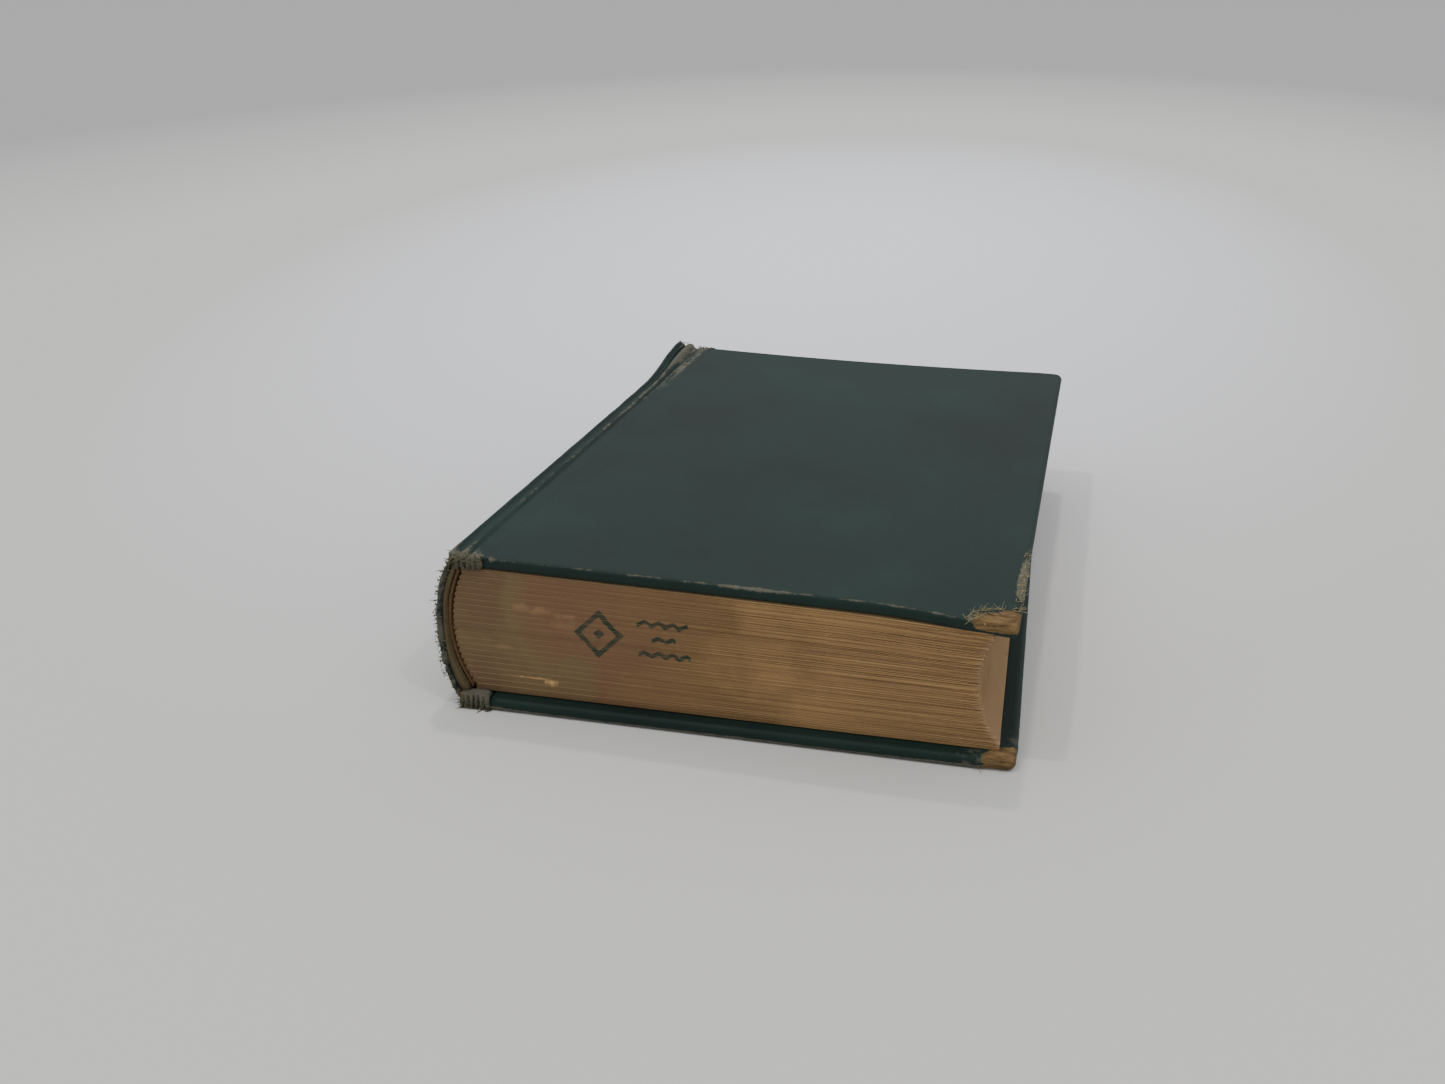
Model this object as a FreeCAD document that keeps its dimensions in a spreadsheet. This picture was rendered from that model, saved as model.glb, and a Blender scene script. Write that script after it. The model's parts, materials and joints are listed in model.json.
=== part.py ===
"""A sewn, case-bound prayer book of foolscap octavo size, lying on its back cover.

Frame: +X from the spine to the fore edge, +Y from the tail to the head, +Z up.
The origin is the middle of the underside of the whole book's box.

The book is cocked with age. From the back cover (height share 0) to the front cover
(height share 1) every section is turned a little further, leans a little further
towards the spine and sits a little further towards the head.
"""
import FreeCAD, Part
import os
from math import radians, sin, cos, tan

os.makedirs("parts", exist_ok=True)

SIZES = {
    # covers
    "cover_width": 110.0,
    "cover_height": 178.0,
    "board_thick": 2.0,
    "cloth_thick": 0.4,
    "turn_in": 14.0,
    "pastedown_thick": 0.15,
    "pastedown_margin": 4.0,
    "corner_round": 2.0,
    # text block
    "fore_square": 3.6,
    "section_thick": 1.265,
    "section_count": 20.0,
    "leaf_thick": 0.15,
    "leaf_count": 4.0,
    "leaf_gap": 0.1,
    "fold_round": 0.45,
    # how the book has moved out of square
    "fold_setback": 4.2,
    "spine_round": 3.4,
    "block_lean": 2.7,
    "cover_skew": 2.1,
    "tail_square": 3.2,
    "tail_slip": 2.6,
    "front_back_step": 1.9,
    "front_tail_step": 5.4,
    # spine
    "glue_thick": 0.55,
    "layer_clear": 0.06,
    "card_clear": 0.15,
    "tape_thick": 0.35,
    "tape_width": 12.0,
    "mull_thick": 0.25,
    "lining_thick": 0.3,
    "lining_inset": 1.0,
    "mull_inset": 7.0,
    "card_thick": 0.8,
    "card_inset": 1.0,
    "spine_cloth_thick": 0.5,
    "case_clear": 0.53,
    "hollow_depth": 1.55,
    "spine_end_lift": 0.5,
    "spine_fullness": 2.8,
    "card_end_lift": 3.4,
    "spine_overhang": 4.5,
    "spine_tail_inset": 0.8,
    "thread_width": 0.8,
    "thread_inset": 14.0,
    # joints
    "groove_depth": 0.9,
    "joint_clear": 0.3,
    "hinge_setback": 6.8,
    "hinge_clear": 0.15,
    "fold_axis_clear": 0.2,
    # the frame's origin, set once everything else is built
    "origin_x": 0.0,
    "origin_y": 0.0,
}

doc = FreeCAD.newDocument("PrayerBook")
sheet = doc.addObject("Spreadsheet::Sheet", "Sizes")
for row, (alias, number) in enumerate(SIZES.items(), start=1):
    sheet.set(f"A{row}", alias)
    sheet.set(f"B{row}", str(number))
    sheet.setAlias(f"B{row}", alias)
doc.recompute()

nodes = {}


def size(alias):
    """The value of one named size, in millimetres, degrees or as a count."""
    return float(sheet.get(alias))


def register(item, name):
    """Name an object as a sub-part of the book."""
    item.Label = name
    nodes[name] = item
    return item


# --- heights -------------------------------------------------------------------------

COVER = "(2 * Sizes.cloth_thick + Sizes.board_thick + Sizes.pastedown_thick)"
FLYLEAF_ROOM = "(2 * Sizes.leaf_gap + Sizes.leaf_thick)"
CENTRE_ROOM = "(Sizes.leaf_count * Sizes.leaf_thick + (Sizes.leaf_count + 1) * Sizes.leaf_gap)"
TEXT_START = f"({COVER} + {FLYLEAF_ROOM})"
HALF_TEXT = "(Sizes.section_count / 2 * Sizes.section_thick)"
TOTAL = f"(2 * {TEXT_START} + 2 * {HALF_TEXT} + {CENTRE_ROOM})"
LEAF_WIDTH = "(Sizes.cover_width + Sizes.fold_setback - Sizes.fore_square)"
LEAF_HEIGHT = "(Sizes.cover_height - 2 * Sizes.tail_square)"

cover_total = 2 * size("cloth_thick") + size("board_thick") + size("pastedown_thick")
flyleaf_room = 2 * size("leaf_gap") + size("leaf_thick")
leaf_count = int(size("leaf_count"))
centre_room = leaf_count * size("leaf_thick") + (leaf_count + 1) * size("leaf_gap")
section_count = int(size("section_count"))
half_count = section_count // 2
text_start = cover_total + flyleaf_room
text_height = section_count * size("section_thick") + centre_room
book_thick = 2 * text_start + text_height
leaf_height = size("cover_height") - 2 * size("tail_square")

# depths of the layers glued to the back of the text block, outwards from its folds
tape_low = size("glue_thick")
tape_top = tape_low + size("tape_thick")
mull_low = tape_top + size("layer_clear")
mull_top = mull_low + size("mull_thick")
lining_low = mull_top + size("layer_clear")
lining_top = lining_low + size("lining_thick")

# where the case's hollow back starts beside each joint, and how far it bulges from there
spine_end_setback = size("fold_setback") + lining_top + size("case_clear")
spine_bulge = size("spine_round") + size("hollow_depth")


# --- placing boxes in a layer of the cocked book -----------------------------------------

def place(item, share, origin, local, height):
    """Bind a box's placement: turned with its layer about that layer's tail fold corner.

    share is the layer's height share, origin its corner, local the box's own offset there.
    All are expressions on the sheet.
    """
    turn = f"(Sizes.cover_skew * ({share}) * 1 deg)"
    along = f"({local[0]}) * cos({turn}) + ({local[1]}) * sin({turn})"
    across = f"({local[1]}) * cos({turn}) - ({local[0]}) * sin({turn})"
    item.setExpression("Placement.Base.x", f"({origin[0]}) + {along} - Sizes.origin_x")
    item.setExpression("Placement.Base.y", f"({origin[1]}) + {across} - Sizes.origin_y")
    item.setExpression("Placement.Base.z", height)
    item.setExpression("Placement.Rotation.Angle", f"-{turn}")


def add_box(name, length, width, height):
    """A box whose three sides are bound to expressions on the sheet."""
    box = doc.addObject("Part::Box", name)
    box.setExpression("Length", length)
    box.setExpression("Width", width)
    box.setExpression("Height", height)
    return box


def cut(name, base, tool):
    """base with tool taken away."""
    result = doc.addObject("Part::Cut", name)
    result.Base = base
    result.Tool = tool
    return result


def fillet(name, base, radius, wanted):
    """base with every edge that wanted() picks, in base's own frame, rounded."""
    doc.recompute()
    own = base.Shape.copy()
    own.Placement = FreeCAD.Placement()
    picked = [number for number, edge in enumerate(own.Edges, start=1) if wanted(edge)]
    result = doc.addObject("Part::Fillet", name)
    result.Base = base
    result.Edges = [(number, radius, radius) for number in picked]
    return result


def is_upright(edge):
    """Whether an edge stands along Z."""
    first, last = edge.Vertexes[0].Point, edge.Vertexes[-1].Point
    return abs(first.z - last.z) > 0.5 * edge.Length


# --- covers --------------------------------------------------------------------------------

def front_origin():
    """The tail spine corner of the front cover, as expressions."""
    return "-Sizes.front_back_step", "Sizes.front_tail_step"


def make_cover(side, share, origin, low, inner_up):
    """Board, covering cloth with turned-in edges, and pastedown of one cover.

    low is the cover's lower face, and inner_up says which way its inside looks.
    """
    cloth, board, paste = "Sizes.cloth_thick", "Sizes.board_thick", "Sizes.pastedown_thick"
    full = f"({board} + 2 * {cloth})"
    shell_low = low if inner_up else f"{low} + {paste}"
    board_low = f"{shell_low} + {cloth}"
    window_low = f"{board_low} + {board}" if inner_up else shell_low
    paste_low = f"{low} + {full}" if inner_up else low
    board_height = f"Sizes.cover_height - 2 * {cloth}"
    board_width = f"Sizes.cover_width - {cloth}"

    def fore_corner(width):
        return lambda edge: is_upright(edge) and edge.Vertexes[0].Point.x > width / 2

    plain_board = add_box(f"{side}_board_plain", board_width, board_height, board)
    place(plain_board, share, origin, ("0", cloth), board_low)
    radius = size("corner_round")
    half = size("cover_width")
    board_piece = fillet(f"{side}_board", plain_board, radius, fore_corner(half))
    register(board_piece, f"{side}_board")

    plain_shell = add_box(f"{side}_shell_plain", "Sizes.cover_width", "Sizes.cover_height", full)
    place(plain_shell, share, origin, ("0", "0"), shell_low)
    outer_radius = radius + size("cloth_thick")
    shell = fillet(f"{side}_shell", plain_shell, outer_radius, fore_corner(half))
    wrapped = cut(f"{side}_wrapped", shell, board_piece)
    window = add_box(f"{side}_window", "Sizes.cover_width - Sizes.turn_in",
                     "Sizes.cover_height - 2 * Sizes.turn_in", cloth)
    place(window, share, origin, ("0", "Sizes.turn_in"), window_low)
    register(cut(f"{side}_cover_cloth", wrapped, window), f"{side}_cover_cloth")

    margin = "Sizes.pastedown_margin"
    pastedown = add_box(f"{side}_pastedown", f"Sizes.cover_width - {margin}",
                        f"Sizes.cover_height - 2 * {margin}", paste)
    place(pastedown, share, origin, ("0", margin), paste_low)
    register(pastedown, f"{side}_pastedown")


# --- text block ----------------------------------------------------------------------------

def fold_expression(share):
    """X of the tail end of a fold at a height share."""
    bow = f"Sizes.spine_round * 4 * ({share}) * (1 - ({share}))"
    return f"-(Sizes.fold_setback + Sizes.block_lean * ({share}) + {bow})"


def fold_x(share):
    """The same place as fold_expression, as a number."""
    bow = size("spine_round") * 4 * share * (1 - share)
    return -(size("fold_setback") + size("block_lean") * share + bow)


def layer_origin(share):
    """The tail fold corner of a layer of the text block."""
    return fold_expression(share), f"Sizes.tail_square + Sizes.tail_slip * ({share})"


def make_leaf(name, share, low):
    """One loose leaf of the text block."""
    leaf = add_box(name, LEAF_WIDTH, LEAF_HEIGHT, "Sizes.leaf_thick")
    place(leaf, share, layer_origin(share), ("0", "0"), low)
    register(leaf, name)


def make_section(number):
    """One folded and sewn section: a slab with its fold rounded."""
    index = number - 1
    share = f"{index} / (Sizes.section_count - 1)"
    low = f"{TEXT_START} + {index} * Sizes.section_thick"
    if number > half_count:
        low = f"{low} + {CENTRE_ROOM}"
    slab = add_box(f"slab_{number:02d}", LEAF_WIDTH, LEAF_HEIGHT,
                   "Sizes.section_thick")
    place(slab, share, layer_origin(share), ("0", "0"), low)

    def at_fold(edge):
        ends = [vertex.Point for vertex in edge.Vertexes]
        return max(abs(point.x) for point in ends) < 1e-6 and not is_upright(edge) \
            and abs(ends[0].y - ends[-1].y) > 1.0

    radius = size("fold_round") * size("section_thick")
    name = f"section_{number:02d}"
    register(fillet(name, slab, radius, at_fold), name)


def make_text_block():
    """All sections, the loose leaves at the middle opening and the two flyleaves."""
    for number in range(1, section_count + 1):
        make_section(number)
    middle = f"{TEXT_START} + {HALF_TEXT} + Sizes.leaf_gap"
    step = "(Sizes.leaf_thick + Sizes.leaf_gap)"
    for index in range(leaf_count):
        make_leaf(f"centre_leaf_{index + 1}", "0.5", f"{middle} + {index} * {step}")
    make_leaf("back_flyleaf", "0", f"{COVER} + Sizes.leaf_gap")
    make_leaf("front_flyleaf", "1", f"{TOTAL} - {COVER} - Sizes.leaf_gap - Sizes.leaf_thick")


# --- spine ---------------------------------------------------------------------------------

PROFILE_POINTS = 9


def turned(x, y, share):
    """X of a point at height share that lies y along the skewed layer."""
    return x + y * tan(radians(size("cover_skew") * share))


def block_profile(offset, y):
    """Points up the back of the text block, a set distance outside its folds."""
    points = []
    for index in range(PROFILE_POINTS):
        share = index / (PROFILE_POINTS - 1)
        height = text_start + share * text_height
        points.append(FreeCAD.Vector(turned(fold_x(share) - offset, y, share), y, height))
    return points


def case_profile(inset, y, end_lift):
    """Points up the hollow back of the case, a set distance inside its outer face."""
    points = []
    top = book_thick - size("spine_end_lift")
    span = top - size("spine_end_lift")
    low_share = (end_lift - size("spine_end_lift")) / span
    for index in range(PROFILE_POINTS):
        share = low_share + (1 - 2 * low_share) * index / (PROFILE_POINTS - 1)
        bulge = spine_bulge * (1 - abs(2 * share - 1) ** size("spine_fullness"))
        x = -(spine_end_setback + size("block_lean") * share + bulge) + inset
        points.append(FreeCAD.Vector(turned(x, y, share), y, size("spine_end_lift") + share * span))
    return points


def spine_layer(outer, inner, tail_y, head_y):
    """A thin curved layer between two profiles, from tail_y to head_y.

    outer and inner take y and give points up the spine.
    """
    wires = []
    for y in (tail_y, head_y):
        outside, inside = outer(y), inner(y)
        up, down = Part.BSplineCurve(), Part.BSplineCurve()
        up.interpolate(outside)
        down.interpolate(inside[::-1])
        top = Part.LineSegment(outside[-1], inside[-1])
        bottom = Part.LineSegment(inside[0], outside[0])
        wires.append(Part.Wire([piece.toShape() for piece in (up, top, down, bottom)]))
    return Part.makeLoft(wires, True, True)


def add_feature(name, shape):
    """A sub-part whose shape is worked out here from the sheet."""
    feature = doc.addObject("Part::Feature", name)
    feature.Shape = shape
    register(feature, name)


def block_layer(outer_offset, inner_offset, tail_y, head_y):
    """A layer glued to the back of the text block."""
    return spine_layer(lambda y: block_profile(outer_offset, y),
                       lambda y: block_profile(inner_offset, y), tail_y, head_y)


def make_spine():
    """Tapes, kettle stitches, mull, paper lining, card and cloth of the spine."""
    tail = size("tail_square") + size("tail_slip")
    head = tail + leaf_height - size("tail_slip") - size("tail_square")
    half_tape = size("tape_width") / 2
    for name, part in (("tail", 0.25), ("middle", 0.5), ("head", 0.75)):
        centre = tail + (head - tail) * part
        tape = block_layer(tape_top, tape_low, centre - half_tape, centre + half_tape)
        add_feature(f"sewing_tape_{name}", tape)
    stitches = []
    for centre in (tail + size("thread_inset"), head - size("thread_inset")):
        edge = size("thread_width") / 2
        stitches.append(block_layer(tape_top, tape_low, centre - edge, centre + edge))
    add_feature("kettle_stitches", Part.makeCompound(stitches))
    inset = size("mull_inset")
    add_feature("mull", block_layer(mull_top, mull_low, tail + inset, head - inset))
    end_inset = size("lining_inset")
    lining = block_layer(lining_top, lining_low, tail + end_inset, head - end_inset)
    add_feature("spine_lining_paper", lining)

    cloth = size("spine_cloth_thick")
    card_low = cloth + size("card_clear")
    card_top = card_low + size("card_thick")
    lift, card_lift = size("spine_end_lift"), size("card_end_lift")
    low_y, high_y = size("spine_tail_inset"), size("cover_height") + size("spine_overhang")
    add_feature("spine_cloth", spine_layer(
        lambda y: case_profile(0, y, lift), lambda y: case_profile(cloth, y, lift),
        low_y, high_y))
    shy = size("card_inset")
    add_feature("spine_card", spine_layer(
        lambda y: case_profile(card_low, y, card_lift),
        lambda y: case_profile(card_top, y, card_lift), low_y + shy, high_y - shy))


# --- joints of the case ----------------------------------------------------------------------

def make_joint_cloth(side, share, corner, reach, outer_z, inward):
    """The strip of covering cloth that bridges one joint, with its pressed groove.

    corner is the board's tail spine corner, reach the joint's width, outer_z the cover's
    outer face and inward +1 or -1, from that face into the book.
    """
    thick = size("cloth_thick")
    depth = size("groove_depth") * inward
    line = [(0, 0), (-reach / 2, depth), (-reach, depth / 2)]
    far_line = [(x, z + thick * inward) for x, z in reversed(line)]
    outline = [FreeCAD.Vector(x, 0, outer_z + z) for x, z in line + far_line]
    face = Part.Face(Part.makePolygon(outline + outline[:1]))
    strip = face.extrude(FreeCAD.Vector(0, size("cover_height"), 0))
    turn = FreeCAD.Rotation(FreeCAD.Vector(0, 0, 1), -size("cover_skew") * share)
    strip.Placement = FreeCAD.Placement(FreeCAD.Vector(corner[0], corner[1], 0), turn)
    add_feature(f"{side}_joint_cloth", strip)


def make_joints():
    """The cloth strips of both joints."""
    step, tail_step = size("front_back_step"), size("front_tail_step")
    end, lean = spine_end_setback, size("block_lean")
    shy = size("spine_cloth_thick") + size("joint_clear")
    make_joint_cloth("back", 0, (0, 0), end - shy, 0, 1)
    make_joint_cloth("front", 1, (-step, tail_step), end + lean - step - shy, book_thick, -1)


# --- the whole book ----------------------------------------------------------------------------

def rotation_point(x, y, share, origin):
    """A point given in a layer's own frame, in the book's frame."""
    turn = radians(size("cover_skew") * share)
    return (origin[0] + x * cos(turn) + y * sin(turn), origin[1] + y * cos(turn) - x * sin(turn))


def settle_origin():
    """Move the frame's origin to the middle of the underside of the whole book's box."""
    doc.recompute()
    whole = FreeCAD.BoundBox()
    for item in nodes.values():
        whole.add(item.Shape.BoundBox)
    sheet.set(sheet.getCellFromAlias("origin_x"), str(whole.Center.x))
    sheet.set(sheet.getCellFromAlias("origin_y"), str(whole.Center.y))
    doc.recompute()
    shift = FreeCAD.Vector(-whole.Center.x, -whole.Center.y, 0)
    for item in nodes.values():
        if item.TypeId == "Part::Feature":
            item.Placement = FreeCAD.Placement(item.Placement.Base + shift, item.Placement.Rotation)
    doc.recompute()


def print_axis(name, x, y, z, share):
    """Say where a joint's axis passes and how it is turned, for whoever joins the bodies."""
    turn = radians(size("cover_skew") * share)
    place_x, place_y = x - size("origin_x"), y - size("origin_y")
    print(f"AXIS {name} {place_x:.4f} {place_y:.4f} {z:.4f} {sin(turn):.6f} {cos(turn):.6f} 0")


def print_axes():
    """The five axes that the book opens about."""
    back, clear = size("hinge_setback"), size("hinge_clear")
    front = (-size("front_back_step"), size("front_tail_step"))
    x, y = rotation_point(-back, 0, 1, front)
    print_axis("front_cover_hinge", x, y, book_thick + clear, 1)
    print_axis("back_cover_hinge", -back, 0, -clear, 0)
    middle = min(point.x for point in case_profile(0, 0, size("spine_end_lift")))
    print_axis("text_opening", middle - size("fold_axis_clear"), 0, book_thick / 2, 0.5)
    half_leaf = size("leaf_gap") + size("leaf_thick") / 2
    tail = size("tail_square")
    print_axis("back_flyleaf_turn", fold_x(0), tail, cover_total + half_leaf, 0)
    tail += size("tail_slip")
    print_axis("front_flyleaf_turn", fold_x(1), tail, book_thick - cover_total - half_leaf, 1)


def export_all():
    """Check every object, then write each sub-part."""
    for item in doc.Objects:
        if "Invalid" in item.State or "Error" in item.State:
            raise RuntimeError(f"{item.Label} failed: {item.State}")
    for name, item in nodes.items():
        if item.Shape.isNull() or not item.Shape.isValid() or item.Shape.Volume <= 0:
            raise RuntimeError(f"{name} has no valid shape")
        item.Shape.exportStep(f"parts/{name}.step")


def main():
    """Build the book from the back cover up."""
    make_cover("back", "0", ("0", "0"), "0", inner_up=True)
    make_cover("front", "1", front_origin(), f"{TOTAL} - {COVER}", inner_up=False)
    make_text_block()
    make_spine()
    make_joints()
    settle_origin()
    print_axes()
    export_all()
    print(f"{len(nodes)} sub-parts, {book_thick:.2f} mm thick")


main()
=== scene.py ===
"""The looks of a worn, cloth-bound prayer book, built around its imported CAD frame.

Units are metres in the frame of the CAD model: +X from the spine to the fore edge,
+Y from the tail to the head, +Z from the back cover to the front cover.
"""
import json
import logging
import math
import random
from dataclasses import dataclass, field
from enum import Enum
from typing import Callable, Iterable, Sequence

import bpy
import numpy as np
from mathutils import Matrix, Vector, noise

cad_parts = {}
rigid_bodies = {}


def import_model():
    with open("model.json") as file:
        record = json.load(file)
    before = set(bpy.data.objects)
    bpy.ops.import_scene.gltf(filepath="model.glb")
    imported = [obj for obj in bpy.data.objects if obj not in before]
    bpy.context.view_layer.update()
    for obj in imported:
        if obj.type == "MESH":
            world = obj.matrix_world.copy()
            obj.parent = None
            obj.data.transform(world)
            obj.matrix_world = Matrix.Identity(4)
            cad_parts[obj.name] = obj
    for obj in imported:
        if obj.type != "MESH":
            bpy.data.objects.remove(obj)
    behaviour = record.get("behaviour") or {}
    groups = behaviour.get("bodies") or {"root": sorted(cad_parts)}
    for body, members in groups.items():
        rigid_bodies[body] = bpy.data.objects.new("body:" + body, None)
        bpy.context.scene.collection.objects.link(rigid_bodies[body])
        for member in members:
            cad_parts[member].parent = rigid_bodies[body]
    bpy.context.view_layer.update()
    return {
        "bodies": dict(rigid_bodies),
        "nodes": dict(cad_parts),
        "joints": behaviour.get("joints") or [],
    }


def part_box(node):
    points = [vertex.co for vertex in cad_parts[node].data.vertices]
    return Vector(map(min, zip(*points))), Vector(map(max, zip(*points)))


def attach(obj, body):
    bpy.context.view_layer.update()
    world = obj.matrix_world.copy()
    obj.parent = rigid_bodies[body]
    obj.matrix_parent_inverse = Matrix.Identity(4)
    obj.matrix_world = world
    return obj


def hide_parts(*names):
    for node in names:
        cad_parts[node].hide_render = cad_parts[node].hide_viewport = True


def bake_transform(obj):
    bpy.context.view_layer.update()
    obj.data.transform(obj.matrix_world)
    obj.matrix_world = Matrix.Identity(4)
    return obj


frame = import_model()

MM = 0.001
SEED = 1889
FLOOR_GAP = 0.15 * MM
log = logging.getLogger("prayer_book")


# --- small helpers -------------------------------------------------------------------------

def smooth(low: float, high: float, value: float) -> float:
    """A smooth step from 0 at low to 1 at high.

    Args:
        low: where the step starts.
        high: where it ends.
        value: the place asked about.

    Returns:
        The height of the step there.
    """
    share = min(max((value - low) / (high - low), 0.0), 1.0)
    return share * share * (3 - 2 * share)


def wobble(x: float, y: float, z: float = 0.0) -> float:
    """Smooth repeatable noise between about -1 and 1."""
    return noise.noise(Vector((x, y, z)))


def linear(hex_colour: str) -> tuple[float, float, float, float]:
    """Turn an sRGB hex colour into linear RGBA.

    Args:
        hex_colour: six hex digits after a #.

    Returns:
        Linear red, green, blue and an alpha of 1.
    """
    channels = [int(hex_colour[start:start + 2], 16) / 255 for start in (1, 3, 5)]
    curve = [c / 12.92 if c <= 0.04045 else ((c + 0.055) / 1.055) ** 2.4 for c in channels]
    return curve[0], curve[1], curve[2], 1.0


def add_node(tree: bpy.types.NodeTree, kind: str, inputs: dict, **settings) -> bpy.types.Node:
    """Add a shader node with its settings, and set or link its inputs.

    Args:
        tree: the node tree it goes in.
        kind: Blender's name of the node's type.
        inputs: socket name or number to a value or to another node's output.
        **settings: attributes of the node.

    Returns:
        The new node.
    """
    node = tree.nodes.new(kind)
    for name, value in settings.items():
        setattr(node, name, value)
    for key, value in inputs.items():
        if isinstance(value, bpy.types.NodeSocket):
            tree.links.new(value, node.inputs[key])
        else:
            node.inputs[key].default_value = value
    return node


def set_stops(node: bpy.types.Node, stops: Sequence[tuple[float, str]]) -> None:
    """Give a colour ramp its stops.

    Args:
        node: the ramp.
        stops: place and sRGB hex colour of each stop, in order.
    """
    ramp = node.color_ramp
    while len(ramp.elements) > 1:
        ramp.elements.remove(ramp.elements[-1])
    ramp.elements[0].position = stops[0][0]
    ramp.elements[0].color = linear(stops[0][1])
    for place, colour in stops[1:]:
        ramp.elements.new(place).color = linear(colour)


def rest_place(tree: bpy.types.NodeTree) -> bpy.types.NodeSocket:
    """The surface's own coordinates, which stay with it when it bends."""
    return add_node(tree, "ShaderNodeAttribute", {}, attribute_name="rest").outputs["Vector"]


class Slot(Enum):
    """The record's material slots."""

    CLOTH = "book_cloth"
    BOARD = "pulp_board"
    CARD = "brown_card"
    LINING = "brown_paper"
    LINEN = "linen"
    THREAD = "linen_thread"
    ENDPAPER = "endpaper"
    TEXT = "text_paper"


def add_piece(name: str, points: np.ndarray, faces: Iterable[Sequence[int]],
              materials: Sequence[bpy.types.Material],
              face_slots: Sequence[int] | None = None, flat: bool = False) -> bpy.types.Object:
    """Make a mesh object in the scene.

    Args:
        name: the piece's name.
        points: its vertices, in metres.
        faces: vertex numbers of each face.
        materials: its material slots.
        face_slots: material slot number of each face, if not all the first.
        flat: whether its faces are shaded flat.

    Returns:
        The new object.
    """
    mesh = bpy.data.meshes.new(name)
    mesh.from_pydata([tuple(p) for p in points], [], [tuple(f) for f in faces])
    for material in materials:
        mesh.materials.append(material)
    if face_slots is not None:
        mesh.polygons.foreach_set("material_index", list(face_slots))
    mesh.polygons.foreach_set("use_smooth", [not flat] * len(mesh.polygons))
    mesh.update()
    rest = mesh.attributes.new("rest", "FLOAT_VECTOR", "POINT")
    rest.data.foreach_set("vector", np.asarray(points, np.float32).ravel())
    piece = bpy.data.objects.new(name, mesh)
    bpy.context.scene.collection.objects.link(piece)
    return piece


def mark(piece: bpy.types.Object, name: str, values: Sequence[float]) -> None:
    """Store one number per vertex for the materials to read."""
    layer = piece.data.attributes.new(name, "FLOAT", "POINT")
    layer.data.foreach_set("value", np.asarray(values, np.float32))


def slab(top: np.ndarray, bottom: np.ndarray) -> tuple[np.ndarray, list, list]:
    """Close two grids of points into one thin solid.

    Args:
        top: upper surface, rows by columns by 3.
        bottom: lower surface, the same shape.

    Returns:
        Points, faces, and for each face 0 on the rim or 1 on the two broad sides.
    """
    rows, columns = top.shape[:2]
    count = rows * columns
    points = np.concatenate([top.reshape(-1, 3), bottom.reshape(-1, 3)])
    faces, kinds = [], []
    for row in range(rows - 1):
        for column in range(columns - 1):
            a = row * columns + column
            b, c, d = a + columns, a + columns + 1, a + 1
            faces += [(a, b, c, d), (a + count, d + count, c + count, b + count)]
            kinds += [1, 1]
    rim = list(range(columns))
    rim += [row * columns + columns - 1 for row in range(1, rows)]
    rim += [(rows - 1) * columns + column for column in range(columns - 2, -1, -1)]
    rim += [row * columns for row in range(rows - 2, 0, -1)]
    for index, here in enumerate(rim):
        after = rim[(index + 1) % len(rim)]
        faces.append((here, after, after + count, here + count))
        kinds.append(0)
    return points, faces, kinds


def join_solids(solids: Sequence[tuple[np.ndarray, list, list]]) -> tuple[np.ndarray, list, list]:
    """Put several solids into one list of points and faces."""
    points, faces, kinds, start = [], [], [], 0
    for own_points, own_faces, own_kinds in solids:
        points.append(own_points)
        faces += [tuple(index + start for index in face) for face in own_faces]
        kinds += own_kinds
        start += len(own_points)
    return np.concatenate(points), faces, kinds


def crowd(count: int, ends: float) -> list[float]:
    """Shares from 0 to 1 that crowd towards both ends.

    Args:
        count: how many.
        ends: 0 for even spacing, up to 1 for the most crowded.

    Returns:
        The shares, in order.
    """
    even = [index / (count - 1) for index in range(count)]
    return [e - ends * math.sin(2 * math.pi * e) / (2 * math.pi) for e in even]


# --- the frame's own measures ----------------------------------------------------------------

def joint_turn(name: str) -> float:
    """How far a joint's axis is turned from +Y towards +X, in radians."""
    axis = next(joint["axis"] for joint in frame["joints"] if joint["name"] == name)
    sign = math.copysign(1, axis[1])
    return math.atan2(axis[0] * sign, axis[1] * sign)


SKEW = joint_turn("front_cover_hinge")
BACK_LOW, BACK_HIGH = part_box("back_cover_cloth")
COVER_WIDTH = BACK_HIGH.x - BACK_LOW.x
COVER_HEIGHT = BACK_HIGH.y - BACK_LOW.y
BOOK_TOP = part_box("front_cover_cloth")[1].z
MIDDLE = BOOK_TOP / 2
LEAF_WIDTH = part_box("section_01")[1].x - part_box("section_01")[0].x
LEAF_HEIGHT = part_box("section_01")[1].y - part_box("section_01")[0].y
SECTIONS = sorted(name for name in frame["nodes"] if name.startswith("section_"))
HALF = len(SECTIONS) // 2
TEXT_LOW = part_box(SECTIONS[0])[0].z
TEXT_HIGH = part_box(SECTIONS[-1])[1].z


@dataclass(frozen=True)
class Layer:
    """One level of the cocked book: a corner and how far the level is turned there."""

    x: float
    y: float
    turn: float

    def at(self, along: float, up: float, height: float) -> tuple[float, float, float]:
        """A point in the book's frame.

        Args:
            along: distance from the layer's spine edge, towards the fore edge.
            up: distance from its tail edge, towards the head.
            height: Z.

        Returns:
            The point.
        """
        c, s = math.cos(self.turn), math.sin(self.turn)
        return self.x + along * c + up * s, self.y + up * c - along * s, height


def section_layers() -> list[tuple[float, Layer]]:
    """The middle height and the layer of every section, from the back to the front."""
    found = []
    for index, name in enumerate(SECTIONS):
        low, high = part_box(name)
        turn = SKEW * index / (len(SECTIONS) - 1)
        corner = Layer(low.x, low.y + LEAF_WIDTH * math.sin(turn), turn)
        found.append(((low.z + high.z) / 2, corner))
    return found


SECTION_LAYERS = section_layers()


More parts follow.
